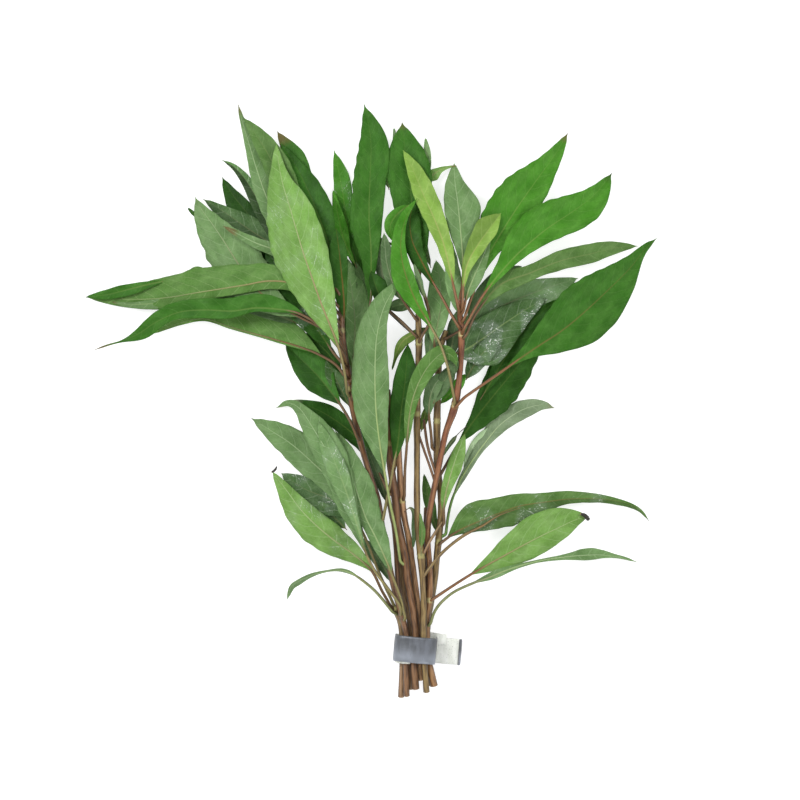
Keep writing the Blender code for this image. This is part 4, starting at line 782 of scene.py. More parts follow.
        "small_leaf_33", "", 0.05, Look(Tone.UNDER_GREY, left=0.8, right=0.8),
        midrib=((394, 586), (384, 568), (374, 553), (362, 538)),
        left=(1.6, 2.6, 2.4), right=(1.6, 2.6, 2.4), heights=(4.0, 4.5, 5.0), slot_of="leaf_left_4"),
    LeafRoute(
        "small_leaf_34", "", 0.05, Look(Tone.UPPER_MID),
        midrib=((170, 280), (150, 284), (130, 289), (108, 294.5), (86, 297)),
        left=(1.4, 2.4, 2.4, 1.6), right=(1.2, 2.0, 2.4, 1.8), heights=(6.2, 4.6, 3.4, 2.9, 2.6),
        slot_of="leaf_left_19"),
    LeafRoute(
        "small_leaf_35", "", 0.02,
        Look(Tone.UNDER_PALE, left=0.9, right=0.9, tip=Mark(0.9, BROWNISH_TIP, 0.7)),
        midrib=((190, 300), (165, 302.5), (145, 304), (128, 304.5), (112, 302)),
        left=(2.4, 2.6, 2.0, 1.2), right=(1.4, 1.6, 1.2, 0.8), heights=(7.4, 5.6, 3.8, 3.2, 3.0),
        slot_of="leaf_left_19"),
    LeafRoute(
        "small_leaf_36", "", 0.05, Look(Tone.UNDER_GREY, left=0.8, right=0.8),
        midrib=((304, 326), (282, 317), (255, 307), (228, 299), (200, 296)),
        left=(2.4, 3.0, 2.8, 2.0), right=(2.4, 3.0, 2.8, 2.0), heights=(9.0, 9.0, 9.0, 8.5),
        slot_of="leaf_left_16"),
    LeafRoute(
        "small_leaf_37", "", 0.05, Look(Tone.UNDER_GREY),
        midrib=((430, 370), (429.5, 352), (431.5, 332), (435, 312)),
        left=(1.6, 2.4, 2.2), right=(2.6, 3.4, 3.0), heights=(12.9, 12.6, 10.8, 9.0), slot_of="leaf_top_7"),
    LeafRoute(
        "small_leaf_38", "", 0.02, Look(Tone.UNDER_GREY, left=0.8, right=0.8),
        midrib=((444, 352), (450, 356), (454, 364), (455, 374)),
        left=(1.6, 2.0, 1.6), right=(2.6, 3.2, 2.4), heights=(16.6, 16.4, 16.0), slot_of="leaf_middle_3"),
    LeafRoute(
        "small_leaf_39", "", 0.02, Look(Tone.UNDER_GREY, left=0.8, right=0.8),
        midrib=((433, 404), (439, 391), (446, 378), (454, 364)),
        left=(2.0, 2.8, 2.6), right=(2.6, 3.4, 3.0), heights=(11.6, 11.8, 12.0), slot_of="leaf_middle_4"),
    LeafRoute(
        "small_leaf_40", "", 0.02, Look(Tone.UNDER_PALE),
        midrib=((368, 330), (366, 308), (362, 285), (356, 262)),
        left=(1.6, 2.4, 2.0), right=(1.6, 2.2, 2.2), heights=(3.4, 3.2, 2.8), slot_of="leaf_top_2"),
    LeafRoute(
        "small_leaf_41", "", 0.02, Look(Tone.UPPER_MID, left=0.8, right=0.8),
        midrib=((364, 280), (357, 262), (351, 246), (347, 232)),
        left=(1.6, 2.4, 2.0), right=(1.6, 2.2, 2.2), heights=(2.4, 2.2, 2.0), slot_of="leaf_top_1"),
    LeafRoute(
        "small_leaf_42", "", 0.02, Look(Tone.UNDER_DULL, left=0.8, right=0.8),
        midrib=((386, 292), (382, 274), (380, 256), (381, 238)),
        left=(1.8, 2.4, 2.2), right=(1.8, 2.4, 2.4), heights=(5.4, 5.2, 5.0), slot_of="leaf_top_5"),
)

# Bare stalks whose leaves are hidden or lost
BARE_STALKS = (
    StemRoute(
        "bare_stalk_1", 0.6, Bark.BROWN, slot_of="leaf_right_12",
        axis=((424, 576, 9.5), (431, 566, 9.5), (444, 551, 9.2), (463, 536, 9.0), (482, 526, 8.8, 0.5),
              (500, 515, 8.3, 0.25), (520, 508, 7.6, 0.1))),
    StemRoute(
        "bare_stalk_2", 0.55, Bark.TAN, slot_of="leaf_right_11",
        axis=((424, 553, 9.8), (430, 541, 9.6), (437, 530, 9.0), (442, 522, 8.4, 0.4))),
    StemRoute(
        "bare_stalk_3", 0.55, Bark.DARK_RED, slot_of="leaf_middle_4",
        axis=((438, 480, 9.6), (432, 462, 8.8), (427, 443, 8.0), (424, 420, 7.2, 0.5))),
    StemRoute(
        "bare_stalk_4", 0.5, Bark.DARK_RED, slot_of="leaf_middle_4",
        axis=((436, 486, 9.4), (431, 470, 9.0), (424, 450, 8.5), (418, 432, 8.0, 0.4))),
    StemRoute(
        "bare_stalk_5", 0.6, Bark.TAN, slot_of="leaf_middle_2",
        axis=((383, 520, 7.2), (387, 500, 7.4), (392, 480, 7.6), (397, 458, 7.8, 0.5))),
    StemRoute(
        "bare_stalk_6", 0.6, Bark.DARK_RED, slot_of="leaf_top_7",
        axis=((434, 322, 9.0), (428, 308, 9.0), (424, 295, 9.0), (420.5, 284, 9.0, 0.5))),
    StemRoute(
        "broken_tip", 0.9, Bark.BLACK, slot_of="leaf_right_13",
        axis=((581, 514, 5.6, 0.5), (585, 515.5, 5.6), (588.5, 519.5, 5.4, 0.7))),
    StemRoute(
        "curled_tip_1", 0.5, Bark.BLACK, slot_of="leaf_left_4",
        axis=((272, 472, 1.4, 0.35), (275, 470, 1.8), (276.5, 467, 2.2, 0.3))),
    StemRoute(
        "bare_stalk_8", 0.6, Bark.DARK, slot_of="leaf_top_5",
        axis=((378, 236, 6.0, 0.4), (382, 240, 6.2), (388, 243, 6.4), (395, 245, 6.4, 0.4))),
    StemRoute(
        "bare_stalk_9", 1.0, Bark.DARK_RED, slot_of="stem_6",
        axis=((423.5, 602, 4.0), (425, 572, 4.1), (425.5, 540, 4.2), (426, 508, 4.4, 0.8))),
    StemRoute(
        "bare_stalk_10", 0.9, Bark.DARK_RED, slot_of="stem_3",
        axis=((400.5, 614, 5.0), (397.5, 580, 5.0), (396, 550, 5.1), (393, 520, 5.2),
              (389, 498, 5.3, 0.6))),
    StemRoute(
        "bare_stalk_7", 0.6, Bark.DARK, slot_of="leaf_top_4",
        axis=((411, 332, 7.5), (400, 322, 7.0), (386, 309, 6.5, 0.5))),
)


def table_point(pixel: tuple[float, ...], height: float) -> tuple[float, float]:
    """Return x and y in millimetres of a pixel's sight line at a height above the table.

    Args:
        pixel: Photograph pixel, x right and y down.
        height: Height above the table in millimetres.

    Returns:
        The place in the frame, in millimetres.
    """
    scale = MM_PER_PIXEL * (1.0 - height / CAMERA_HEIGHT)
    x = (CENTRE_PIXEL[0] - ORIGIN_PIXEL[0]) * MM_PER_PIXEL + (pixel[0] - CENTRE_PIXEL[0]) * scale
    y = (ORIGIN_PIXEL[1] - CENTRE_PIXEL[1]) * MM_PER_PIXEL - (pixel[1] - CENTRE_PIXEL[1]) * scale
    return x, y


def distance_along(points: np.ndarray) -> np.ndarray:
    """Return each point's distance from the first one, along the line through all of them."""
    return np.concatenate([[0.0], np.cumsum(np.linalg.norm(np.diff(points, axis=0), axis=1))])


def smooth_route(points: np.ndarray, count: int, span: int = 24) -> np.ndarray:
    """Return count points, evenly spaced in plan, of a smooth curve through the given points.

    Args:
        points: Rows of coordinates, the first two of them in plan.
        count: How many points to return.
        span: Points taken between two given ones.

    Returns:
        Rows of the same coordinates.
    """
    points = np.asarray(points, float)
    padded = np.vstack([2.0 * points[0] - points[1], points, 2.0 * points[-1] - points[-2]])
    t = np.linspace(0.0, 1.0, span, endpoint=False)[:, None]
    pieces = []
    for i in range(len(points) - 1):
        p0, p1, p2, p3 = padded[i : i + 4]
        pieces.append(0.5 * (2 * p1 + (p2 - p0) * t + (2 * p0 - 5 * p1 + 4 * p2 - p3) * t**2
                             + (3 * p1 - p0 - 3 * p2 + p3) * t**3))
    dense = np.vstack(pieces + [points[-1:]])
    along = distance_along(dense[:, :2])
    wanted = np.linspace(0.0, along[-1], count)
    return np.column_stack([np.interp(wanted, along, dense[:, k]) for k in range(dense.shape[1])])


def unit(vectors: np.ndarray) -> np.ndarray:
    """Return the vectors at length one."""
    return vectors / np.maximum(np.linalg.norm(vectors, axis=-1, keepdims=True), 1e-9)


def fade(value: np.ndarray, low: float, high: float) -> np.ndarray:
    """Return a smooth step from 0 at low to 1 at high."""
    t = np.clip((value - low) / (high - low), 0.0, 1.0)
    return t * t * (3.0 - 2.0 * t)


def hump(value: np.ndarray, middle: float, width: float) -> np.ndarray:
    """Return a bell curve that is 1 at its middle."""
    return np.exp(-((value - middle) / width) ** 2)


def paired(first: np.ndarray, second: np.ndarray) -> np.ndarray:
    """Return two arrays, stretched to one grid, as the two values at each of its places."""
    return np.stack(np.broadcast_arrays(first, second), axis=-1)


def tube_spokes(side: np.ndarray, up: np.ndarray, around: int) -> tuple[np.ndarray, np.ndarray]:
    """Return the angles round a tube, from its underside, and the directions to them at each ring.

    Args:
        side: Each ring's direction to the side.
        up: Each ring's direction up.
        around: Faces round the tube.

    Returns:
        The angles, and rings by angles of directions.
    """
    angle = np.linspace(0.0, 2.0 * math.pi, around + 1) - 0.5 * math.pi
    return angle, np.cos(angle)[:, None] * side[:, None] + np.sin(angle)[:, None] * up[:, None]


class Skin:
    """Points, faces, finish numbers and two sets of map coordinates of one piece, gathered part by part."""

    def __init__(self) -> None:
        """Start empty."""
        self.points: list[np.ndarray] = []
        self.faces: list[tuple[int, ...]] = []
        self.slots: list[int] = []
        self.smooth: list[bool] = []
        self.size_map: list[np.ndarray] = []
        self.share_map: list[np.ndarray] = []
        self.count = 0

    def add_grid(self, points: np.ndarray, size: np.ndarray, share: np.ndarray, slot: int,
                 flip: bool = False) -> int:
        """Add a grid of points with a face between each four.

        Args:
            points: Rows by columns of places in millimetres.
            size: The same grid of map coordinates in millimetres.
            share: The same grid of map coordinates as shares.
            slot: Number of the finish.
            flip: Whether faces turn the other way.

        Returns:
            The number of the grid's first point.
        """
        rows, columns = points.shape[:2]
        first = self.count
        self.points.append(points.reshape(-1, 3))
        self.size_map.append(size.reshape(-1, 2))
        self.share_map.append(share.reshape(-1, 2))
        self.count += rows * columns
        for i in range(rows - 1):
            for j in range(columns - 1):
                a = first + i * columns + j
                ring = (a, a + 1, a + 1 + columns, a + columns)
                self.faces.append(ring[::-1] if flip else ring)
                self.slots.append(slot)
                self.smooth.append(True)
        return first

    def add_faces(self, faces: list[tuple[int, ...]], slot: int) -> None:
        """Add flat faces between points that are there already."""
        self.faces += faces
        self.slots += [slot] * len(faces)
        self.smooth += [False] * len(faces)

    def add_rim(self, top: int, low: int, rows: int, columns: int, slot: int) -> None:
        """Close the gap all round between two grids of one size.

        Args:
            top: Number of the first point of the grid that faces out.
            low: Number of the first point of the grid that faces the other way.
            rows: Rows of each grid.
            columns: Columns of each grid.
            slot: Number of the finish.
        """
        sides = [(i * columns + j, columns, j > 0) for i in range(rows - 1) for j in (0, columns - 1)]
        ends = [(i * columns + j, 1, i == 0) for i in (0, rows - 1) for j in range(columns - 1)]
        rim = []
        for place, stride, turned in sides + ends:
            a, b = top + place, low + place
            ring = (a, a + stride, b + stride, b)
            rim.append(ring[::-1] if turned else ring)
        self.add_faces(rim, slot)

    def build(self, name: str, materials: list[bpy.types.Material]) -> bpy.types.Object:
        """Make the mesh object.

        Args:
            name: The piece's name.
            materials: Its finishes, in the order of their numbers.

        Returns:
            The new object, in the scene.
        """
        mesh = bpy.data.meshes.new(name)
        places = np.concatenate(self.points) * MM
        mesh.from_pydata([tuple(p) for p in places], [], self.faces)
        for material in materials:
            mesh.materials.append(material)
        mesh.polygons.foreach_set("material_index", self.slots)
        mesh.polygons.foreach_set("use_smooth", self.smooth)
        corners = np.zeros(len(mesh.loops), int)
        mesh.loops.foreach_get("vertex_index", corners)
        for layer_name, values in (("size_map", self.size_map), ("share_map", self.share_map)):
            layer = mesh.uv_layers.new(name=layer_name)
            flat = np.concatenate(values)[corners]
            layer.uv.foreach_set("vector", flat.astype(np.float32).ravel())
        joined = bmesh.new()
        joined.from_mesh(mesh)
        bmesh.ops.remove_doubles(joined, verts=joined.verts, dist=0.001 * MM)
        joined.to_mesh(mesh)
        joined.free()
        thing = bpy.data.objects.new(name, mesh)
        bpy.context.scene.collection.objects.link(thing)
        return thing


def place_piece(skin: Skin, name: str, materials: list[bpy.types.Material], slot_of: str = "") -> str:
    """Make a piece's mesh, named for the solid it stands for, and hide that solid; a piece without one keeps
    its own name.

    Args:
        skin: Its points and faces.
        name: The solid's name or, without a solid, the piece's own.
        materials: Its finishes.
        slot_of: Given where it has no solid of its own; only whether it is given is read.

    Returns:
        The piece's name.
    """
    thing = skin.build(name + ("" if slot_of else "_dressed"), materials)
    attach(thing, "root")
    if not slot_of:
        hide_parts(name)
    return thing.name


class Wiring:
    """Lays out the nodes of a material or a group and joins them."""

    def __init__(self, tree: bpy.types.NodeTree) -> None:
        """Take the node tree to fill."""
        self.tree = tree

    def node(self, kind: str, **settings: object) -> bpy.types.Node:
        """Add a node and set its plain settings."""
        made = self.tree.nodes.new(kind)
        for key, value in settings.items():
            setattr(made, key, value)
        return made

    def put(self, socket: Socket, value: object) -> None:
        """Join a socket to another, or give it a value."""
        if isinstance(value, Socket):
            self.tree.links.new(value, socket)
        elif isinstance(value, tuple) and socket.type == "RGBA":
            socket.default_value = (*value, 1.0)
        else:
            socket.default_value = value

    def fill(self, node: bpy.types.Node, values: tuple[object, ...]) -> bpy.types.Node:
        """Give a node's first inputs their values, in order."""
        for socket, value in zip(node.inputs, values):
            self.put(socket, value)
        return node

    def math(self, operation: str, *values: object, clamp: bool = False) -> Socket:
        """Return the result of a sum on one to three values."""
        return self.fill(self.node("ShaderNodeMath", operation=operation, use_clamp=clamp), values).outputs[0]

    def step(self, value: object, low: float, high: float) -> Socket:
        """Return a smooth step of a value from low to high. It falls where high is the lower one."""
        made = self.node("ShaderNodeMapRange", interpolation_type="SMOOTHSTEP")
        ends = (0.0, 1.0) if high > low else (1.0, 0.0)
        return self.fill(made, (value, min(low, high), max(low, high), *ends)).outputs[0]

    def mix(self, share: object, first: object, second: object, blend: str = "MIX") -> Socket:
        """Return a mix of two colours."""
        made = self.node("ShaderNodeMix", data_type="RGBA", blend_type=blend)
        for socket, given in zip((made.inputs[0], made.inputs[6], made.inputs[7]), (share, first, second)):
            self.put(socket, given)
        return made.outputs[2]

    def tint(self, colour: object, mask: object, share: object, other: object) -> Socket:
        """Return a colour with another laid over it where a mask shows, as strongly as share says."""
        return self.mix(self.math("MULTIPLY", mask, share), colour, other)

    def noise(self, place: object, scale: float, detail: float = 2.0, distortion: float = 0.0) -> Socket:
        """Return a soft noise from 0 to 1."""
        made = self.node("ShaderNodeTexNoise")
        values = {"Vector": place, "Scale": scale, "Detail": detail, "Distortion": distortion}
        for key, given in values.items():
            self.put(made.inputs[key], given)
        return made.outputs[0]

    def pattern(self, place: object, kind: Pattern) -> Socket:
        """Return the mask of a pattern, from 0 where it is absent to 1 where it is full."""
        return self.step(self.noise(place, kind.scale, kind.detail), kind.faint, kind.full)

    def parts(self, vector: object) -> tuple[Socket, Socket]:
        """Return x and y of a vector."""
        made = self.node("ShaderNodeSeparateXYZ")
        self.put(made.inputs[0], vector)
        return made.outputs[0], made.outputs[1]

    def stretched(self, vector: object, x: object, y: float) -> Socket:
        """Return a vector with its x and y made longer or shorter."""
        first, second = self.parts(vector)
        values = (self.math("MULTIPLY", first, x), self.math("MULTIPLY", second, y), 0.0)
        return self.fill(self.node("ShaderNodeCombineXYZ"), values).outputs[0]

    def map(self, name: str) -> Socket:
        """Return one of the piece's two sets of map coordinates."""
        return self.node("ShaderNodeUVMap", uv_map=name).outputs[0]

    def group(self, tree: bpy.types.NodeTree, **given: object) -> bpy.types.Node:
        """Place a shared effect with its own values."""
        made = self.node("ShaderNodeGroup", node_tree=tree)
        for key, value in given.items():
            self.put(made.inputs[key.replace("_", " ")], value)
        return made

    def bump(self, shader: bpy.types.Node, height: object, strength: float, depth: float) -> None:
        """Join a height to the shader's normal. The depth is in millimetres."""
        made = self.node("ShaderNodeBump")
        for key, value in (("Strength", strength), ("Distance", depth * MM), ("Height", height)):
            self.put(made.inputs[key], value)
        self.put(shader.inputs["Normal"], made.outputs[0])

    def with_painted_side_shade(self, colour: object, around: object, radian: float) -> Socket:
        """Return a colour with shade painted on it, darker from the top of a tube down its sides.

        Args:
            colour: The colour on top.
            around: Distance round the tube in its map.
            radian: Length of one radian in that map.

        Returns:
            The shaded colour.
        """
        height = self.math("SINE", self.math("DIVIDE", around, radian))
        return self.mix(self.step(height, 0.9, 0.15), colour, self.mix(1.0, colour, PAINTED_SIDE_SHADE, "MULTIPLY"))


def new_group(name: str, inputs: dict[str, str], outputs: tuple[str, ...]) -> tuple[
        bpy.types.NodeTree, Wiring, bpy.types.NodeOutputs, bpy.types.NodeInputs]:
    """Start a shader node group.

    Args:
        name: Its name.
        inputs: Names of its inputs and their kinds.
        outputs: Names of the values that it gives.

    Returns:
        The group, its wiring, the values that come in and the sockets that go out.
    """
    tree = bpy.data.node_groups.new(name, "ShaderNodeTree")
    for key, kind in inputs.items():
        tree.interface.new_socket(name=key, in_out="INPUT", socket_type="NodeSocket" + kind)
    for key in outputs:
        tree.interface.new_socket(name=key, in_out="OUTPUT", socket_type="NodeSocketFloat")
    wiring = Wiring(tree)
    return tree, wiring, wiring.node("NodeGroupInput").outputs, wiring.node("NodeGroupOutput").inputs


def leaf_relief_group() -> bpy.types.NodeTree:
    """Return the group that draws a leaf's midrib, side veins and fine net from its map in millimetres."""
    tree, w, given, out = new_group(
        "leaf_relief", {"Size": "Vector", "Spacing": "Float", "Slant": "Float", "Rib Width": "Float"},
        ("Vein", "Rib", "Net", "Height"))
    size, spacing = given["Size"], given["Spacing"]
    x, y = w.parts(size)
    waver = w.math("MULTIPLY", w.math("SUBTRACT", w.noise(size, 0.16), 0.5), VEIN_WAVER)
    away = w.math("ABSOLUTE", y)
    bent = w.math("MULTIPLY", away, w.math("ADD", given["Slant"], w.math("MULTIPLY", away, VEIN_BEND)))
    ahead = w.math("MULTIPLY", w.math("GREATER_THAN", y, 0.0), VEIN_STAGGER)
    run = w.math("ADD", w.math("SUBTRACT", x, bent), waver)
    count = w.math("ADD", w.math("DIVIDE", run, spacing), ahead)
    phase = w.math("ABSOLUTE", w.math("SUBTRACT", w.math("FRACT", count), 0.5))
    vein = w.step(w.math("MULTIPLY", w.math("SUBTRACT", 0.5, phase), spacing), *VEIN_EDGE)
    rib = w.node("ShaderNodeMapRange", interpolation_type="SMOOTHSTEP")
    w.fill(rib, (away, 0.1, given["Rib Width"], 1.0, 0.0))
    cells = w.node("ShaderNodeTexVoronoi", feature="DISTANCE_TO_EDGE")
    w.put(cells.inputs["Vector"], size)
    w.put(cells.inputs["Scale"], NET_CELLS)
    net = w.step(cells.outputs["Distance"], *NET_EDGE)
    pillow = w.math("MULTIPLY", w.math("SUBTRACT", 1.0, vein), 0.7)
    bumps = w.math("MULTIPLY", w.math("SUBTRACT", 1.0, net), 0.22)
    grain = w.math("MULTIPLY", w.noise(size, 1.8, 3.0), 0.35)
    w.put(out["Vein"], vein)
    w.put(out["Rib"], rib.outputs[0])
    w.put(out["Net"], net)
    w.put(out["Height"], w.math("ADD", w.math("ADD", pillow, bumps), grain))
    return tree


def wet_sheen_glint_group() -> bpy.types.NodeTree:
    """Return the masks of a wet leaf: its wet patches, which take a painted sheen, and small whitish painted
    glints of light along the veins.
    """
    tree, w, given, out = new_group(
        "wet_sheen_and_glints", {"Size": "Vector", "Vein": "Float", "Amount": "Float"}, ("Painted Glint", "Wet And Sheen"))
    patch = w.pattern(given["Size"], WET_SHEEN_PATCHES)
    grain = w.noise(w.stretched(given["Size"], 0.55, 1.1), 1.5, 3.0, 1.2)
    drops = w.step(grain, 0.60, 0.70)
    lines = w.math("MULTIPLY", given["Vein"], w.step(grain, 0.46, 0.62))
    both = w.math("MAXIMUM", drops, lines)
    w.put(out["Painted Glint"], w.math("MULTIPLY", w.math("MULTIPLY", both, patch), given["Amount"], clamp=True))
    w.put(out["Wet And Sheen"], w.math("MULTIPLY", patch, given["Amount"], clamp=True))
    return tree


def furrow_group() -> bpy.types.NodeTree:
    """Return the group of fine furrows and streaks that run along a stem or a stalk, and small flecks for
    painted glints.
    """
    tree, w, given, out = new_group(
        "furrows", {"Size": "Vector", "Stretch": "Float"}, ("Streak", "Height", "Painted Fleck"))
    streak = w.noise(w.stretched(given["Size"], given["Stretch"], 1.0), STREAKS.scale, STREAKS.detail)
    w.put(out["Streak"], w.step(streak, STREAKS.faint, STREAKS.full))
    w.put(out["Height"], w.math("ADD", streak, w.math("MULTIPLY", w.noise(given["Size"], 1.6), 0.4)))
    w.put(out["Painted Fleck"], w.pattern(given["Size"], PAINTED_GLINT_FLECKS))
    return tree


def scuff_group() -> bpy.types.NodeTree:
    """Return the group of scuffs, smears and dents on the soft metal strip."""
    tree, w, given, out = new_group("scuffs", {"Size": "Vector"}, ("Smear", "Scratch", "Height"))
    scratch = w.noise(w.stretched(given["Size"], 1.0, 0.12), SCRATCHES.scale, SCRATCHES.detail)
    dents = w.noise(given["Size"], 0.35, 3.0)
    w.put(out["Smear"], w.pattern(w.stretched(given["Size"], 1.0, 0.35), SMEARS))
    w.put(out["Scratch"], w.step(scratch, SCRATCHES.faint, SCRATCHES.full))
    w.put(out["Height"], w.math("ADD", dents, w.math("MULTIPLY", scratch, 0.15)))
    return tree


class Finishes:
    """Makes each material once and hands it out."""

    def __init__(self) -> None:
        """Build the shared effects and the finish of the cut ends."""
        self.relief = leaf_relief_group()
        self.wet_sheen = wet_sheen_glint_group()
        self.furrows = furrow_group()
        self.scuffs = scuff_group()
        self.made: dict[tuple, bpy.types.Material] = {}
        self.cut_end = self.plain("cut_end", srgb(150, 124, 84), srgb(92, 66, 42), 0.8)

    def start(self, name: str) -> tuple[bpy.types.Material, Wiring, bpy.types.Node]:
        """Return a new material, its wiring and its shader."""
        material = bpy.data.materials.new(name)
        material.use_nodes = True
        return material, Wiring(material.node_tree), material.node_tree.nodes["Principled BSDF"]

    def leaf(self, look: Look, tone: Tone) -> bpy.types.Material:
        """Return the material of one side of a leaf.

        Args:
            look: The leaf's own values.
            tone: The finish of this side.

        Returns:
            The material.
        """
        key = (tone, look.left, look.right, look.base, look.end, look.tip, look.wet_and_glints, look.rib)
        if key in self.made:
            return self.made[key]
        finish = LEAF_FINISHES[tone]
        material, w, shader = self.start("leaf_" + tone.value.replace(" ", "_"))
        place = w.map("size_map")
        along, across = w.parts(w.map("share_map"))
        rib_width = w.math("MULTIPLY", finish.rib_width, w.math("SUBTRACT", 1.2, along))
        veins = w.group(self.relief, Size=place, Spacing=VEIN_SPACING, Slant=VEIN_SLANT,
                        Rib_Width=rib_width).outputs
        mottle = w.pattern(place, MOTTLE)
        shades = w.pattern(w.stretched(place, 0.5, 1.3), SHADES)
        colour = w.mix(w.pattern(place, CLOUDS), finish.blade, finish.cloud)
        colour = w.tint(colour, shades, 0.36, scaled(finish.blade, 0.5))
        colour = w.tint(colour, mottle, 0.3, scaled(finish.blade, 0.7))
        colour = w.tint(colour, veins["Net"], finish.net_share * 0.6, finish.vein)
        colour = w.tint(colour, veins["Vein"], finish.vein_share, finish.vein)
        # painted light and shade by half: each half made lighter or darker, partly for its own tone
        half_tone_and_light = w.mix(w.step(across, 0.46, 0.54), (look.right,) * 3, (look.left,) * 3)
        run = w.mix(along, (look.base,) * 3, (look.end,) * 3)
        colour = w.mix(1.0, w.mix(1.0, colour, half_tone_and_light, "MULTIPLY"), run, "MULTIPLY")
        rib_share = w.math("MULTIPLY", w.step(along, 1.3, 0.15), finish.rib_share)
        colour = w.tint(colour, veins["Rib"], rib_share, look.rib or finish.rib)
        rough = w.math("ADD", finish.roughness, w.math("MULTIPLY", mottle, 0.12))
        if look.wet_and_glints:
            wet_and_glints = w.group(self.wet_sheen, Size=place, Vein=veins["Vein"], Amount=look.wet_and_glints).outputs
            # painted sheen and painted glints of light laid into the wet blade's colour; its roughness drops
            # too
            colour = w.tint(colour, wet_and_glints["Wet And Sheen"], 0.25, PAINTED_SHEEN_COLOUR)
            colour = w.tint(colour, wet_and_glints["Painted Glint"], 0.8, PAINTED_GLINT_COLOUR)
            rough = w.math("SUBTRACT", rough, w.math("MULTIPLY", wet_and_glints["Wet And Sheen"], 0.16))
        if look.tip.strength:
            uneven = w.math("MULTIPLY", w.math("SUBTRACT", w.noise(place, 0.5), 0.5), 0.06)
            full = min(look.tip.start + 0.1, 1.0)
            spent = w.step(w.math("ADD", along, uneven), look.tip.start, full)
            colour = w.tint(colour, spent, look.tip.strength, look.tip.colour)
        w.put(shader.inputs["Base Color"], colour)
        w.put(shader.inputs["Roughness"], rough)
        shader.inputs["Specular IOR Level"].default_value = finish.gloss
        w.bump(shader, veins["Height"], finish.relief, 0.25)
        self.made[key] = material
        return material

    def stalk(self, look: Look) -> bpy.types.Material:
        """Return the material of a leaf's stalk and of the rib that runs on under the blade."""
        finish = LEAF_FINISHES[look.tone]
        rib = look.rib or finish.rib
        key = ("stalk", look.stalk, rib, finish.vein)
        if key in self.made:
            return self.made[key]
        material, w, shader = self.start("stalk")
        place = w.map("size_map")
        along, _ = w.parts(w.map("share_map"))
        lines = w.group(self.furrows, Size=place, Stretch=0.2).outputs
        stalk = w.tint(look.stalk, lines["Streak"], 0.6, scaled(look.stalk, 0.55))
        colour = w.mix(w.step(along, 0.0, 0.2), stalk, rib)
        colour = w.tint(colour, w.step(along, 0.15, 0.8), 0.8, finish.vein)
        # painted shade down the sides of the stalk, up to where the blade starts
        shaded = w.with_painted_side_shade(colour, w.parts(place)[1], ROUND_STALK)
        w.put(shader.inputs["Base Color"], w.mix(w.step(along, 0.05, 0.2), shaded, colour))
        shader.inputs["Roughness"].default_value = 0.42
        shader.inputs["Specular IOR Level"].default_value = 0.4
        w.bump(shader, lines["Height"], 0.4, 0.2)
        self.made[key] = material
        return material

    def bark(self, kind: Bark) -> bpy.types.Material:
        """Return a stem's material."""
        if kind in self.made:
            return self.made[kind]
        finish = BARK_FINISHES[kind]
        material, w, shader = self.start("stem_" + kind.value.replace(" ", "_"))
        place = w.map("size_map")
        along, joint = w.parts(w.map("share_map"))
        lines = w.group(self.furrows, Size=place, Stretch=0.12).outputs
        patch = w.pattern(place, BARK_PATCHES)
        colour = w.mix(w.step(along, 0.15, 0.75), finish.low, finish.high)
        colour = w.tint(colour, patch, 0.35, scaled(finish.low, 1.15))
        colour = w.tint(colour, lines["Streak"], 0.75, finish.streak)
        # painted highlight: small lighter glints on the stem
        colour = w.tint(colour, lines["Painted Fleck"], 0.5, scaled(finish.low, 1.3))
        colour = w.tint(colour, w.step(joint, 0.3, 0.08), 0.7, finish.joint)
        # painted shade down the sides of the stem
        w.put(shader.inputs["Base Color"], w.with_painted_side_shade(colour, w.parts(place)[1], ROUND_STEM))
        w.put(shader.inputs["Roughness"], w.math("ADD", finish.roughness, w.math("MULTIPLY", patch, 0.12)))
        shader.inputs["Specular IOR Level"].default_value = 0.5
        w.bump(shader, lines["Height"], 0.6, 0.35)
        self.made[kind] = material
        return material

    def plain(self, name: str, colour: Colour, spot: Colour, roughness: float, metallic: float = 0.0,
              painted_highlight: Colour | None = None, specks: float = 0.0) -> bpy.types.Material:
        """Return a material with scuffs and smears: the strip's faces and the stems' cut ends.

        Args:
            name: Its name.
            colour: The ground.
            spot: The smears.
            roughness: Its least roughness.
            metallic: How metallic it is.
            painted_highlight: A painted highlight on the half towards the cut ends, where there is one.
            specks: How strong its dark specks are.

        Returns:
            The material.
        """
        material, w, shader = self.start(name)
        place = w.map("size_map")
        marks = w.group(self.scuffs, Size=place).outputs
        ground = w.mix(marks["Smear"], colour, spot)
        if painted_highlight:
            # painted highlight, brighter across the band towards the cut ends
            ground = w.tint(ground, w.step(w.parts(place)[1], 1.5, -3.4), 0.6, painted_highlight)
        if specks:
            ground = w.tint(ground, w.pattern(place, SPECKS), specks, scaled(colour, 0.3))
        ground = w.tint(ground, marks["Scratch"], 0.25, scaled(colour, 0.6))
        w.put(shader.inputs["Base Color"], ground)
        w.put(shader.inputs["Roughness"], w.math("ADD", roughness, w.math("MULTIPLY", marks["Smear"], 0.12)))
        shader.inputs["Metallic"].default_value = metallic
        w.bump(shader, marks["Height"], 0.35, 0.4)
        return material


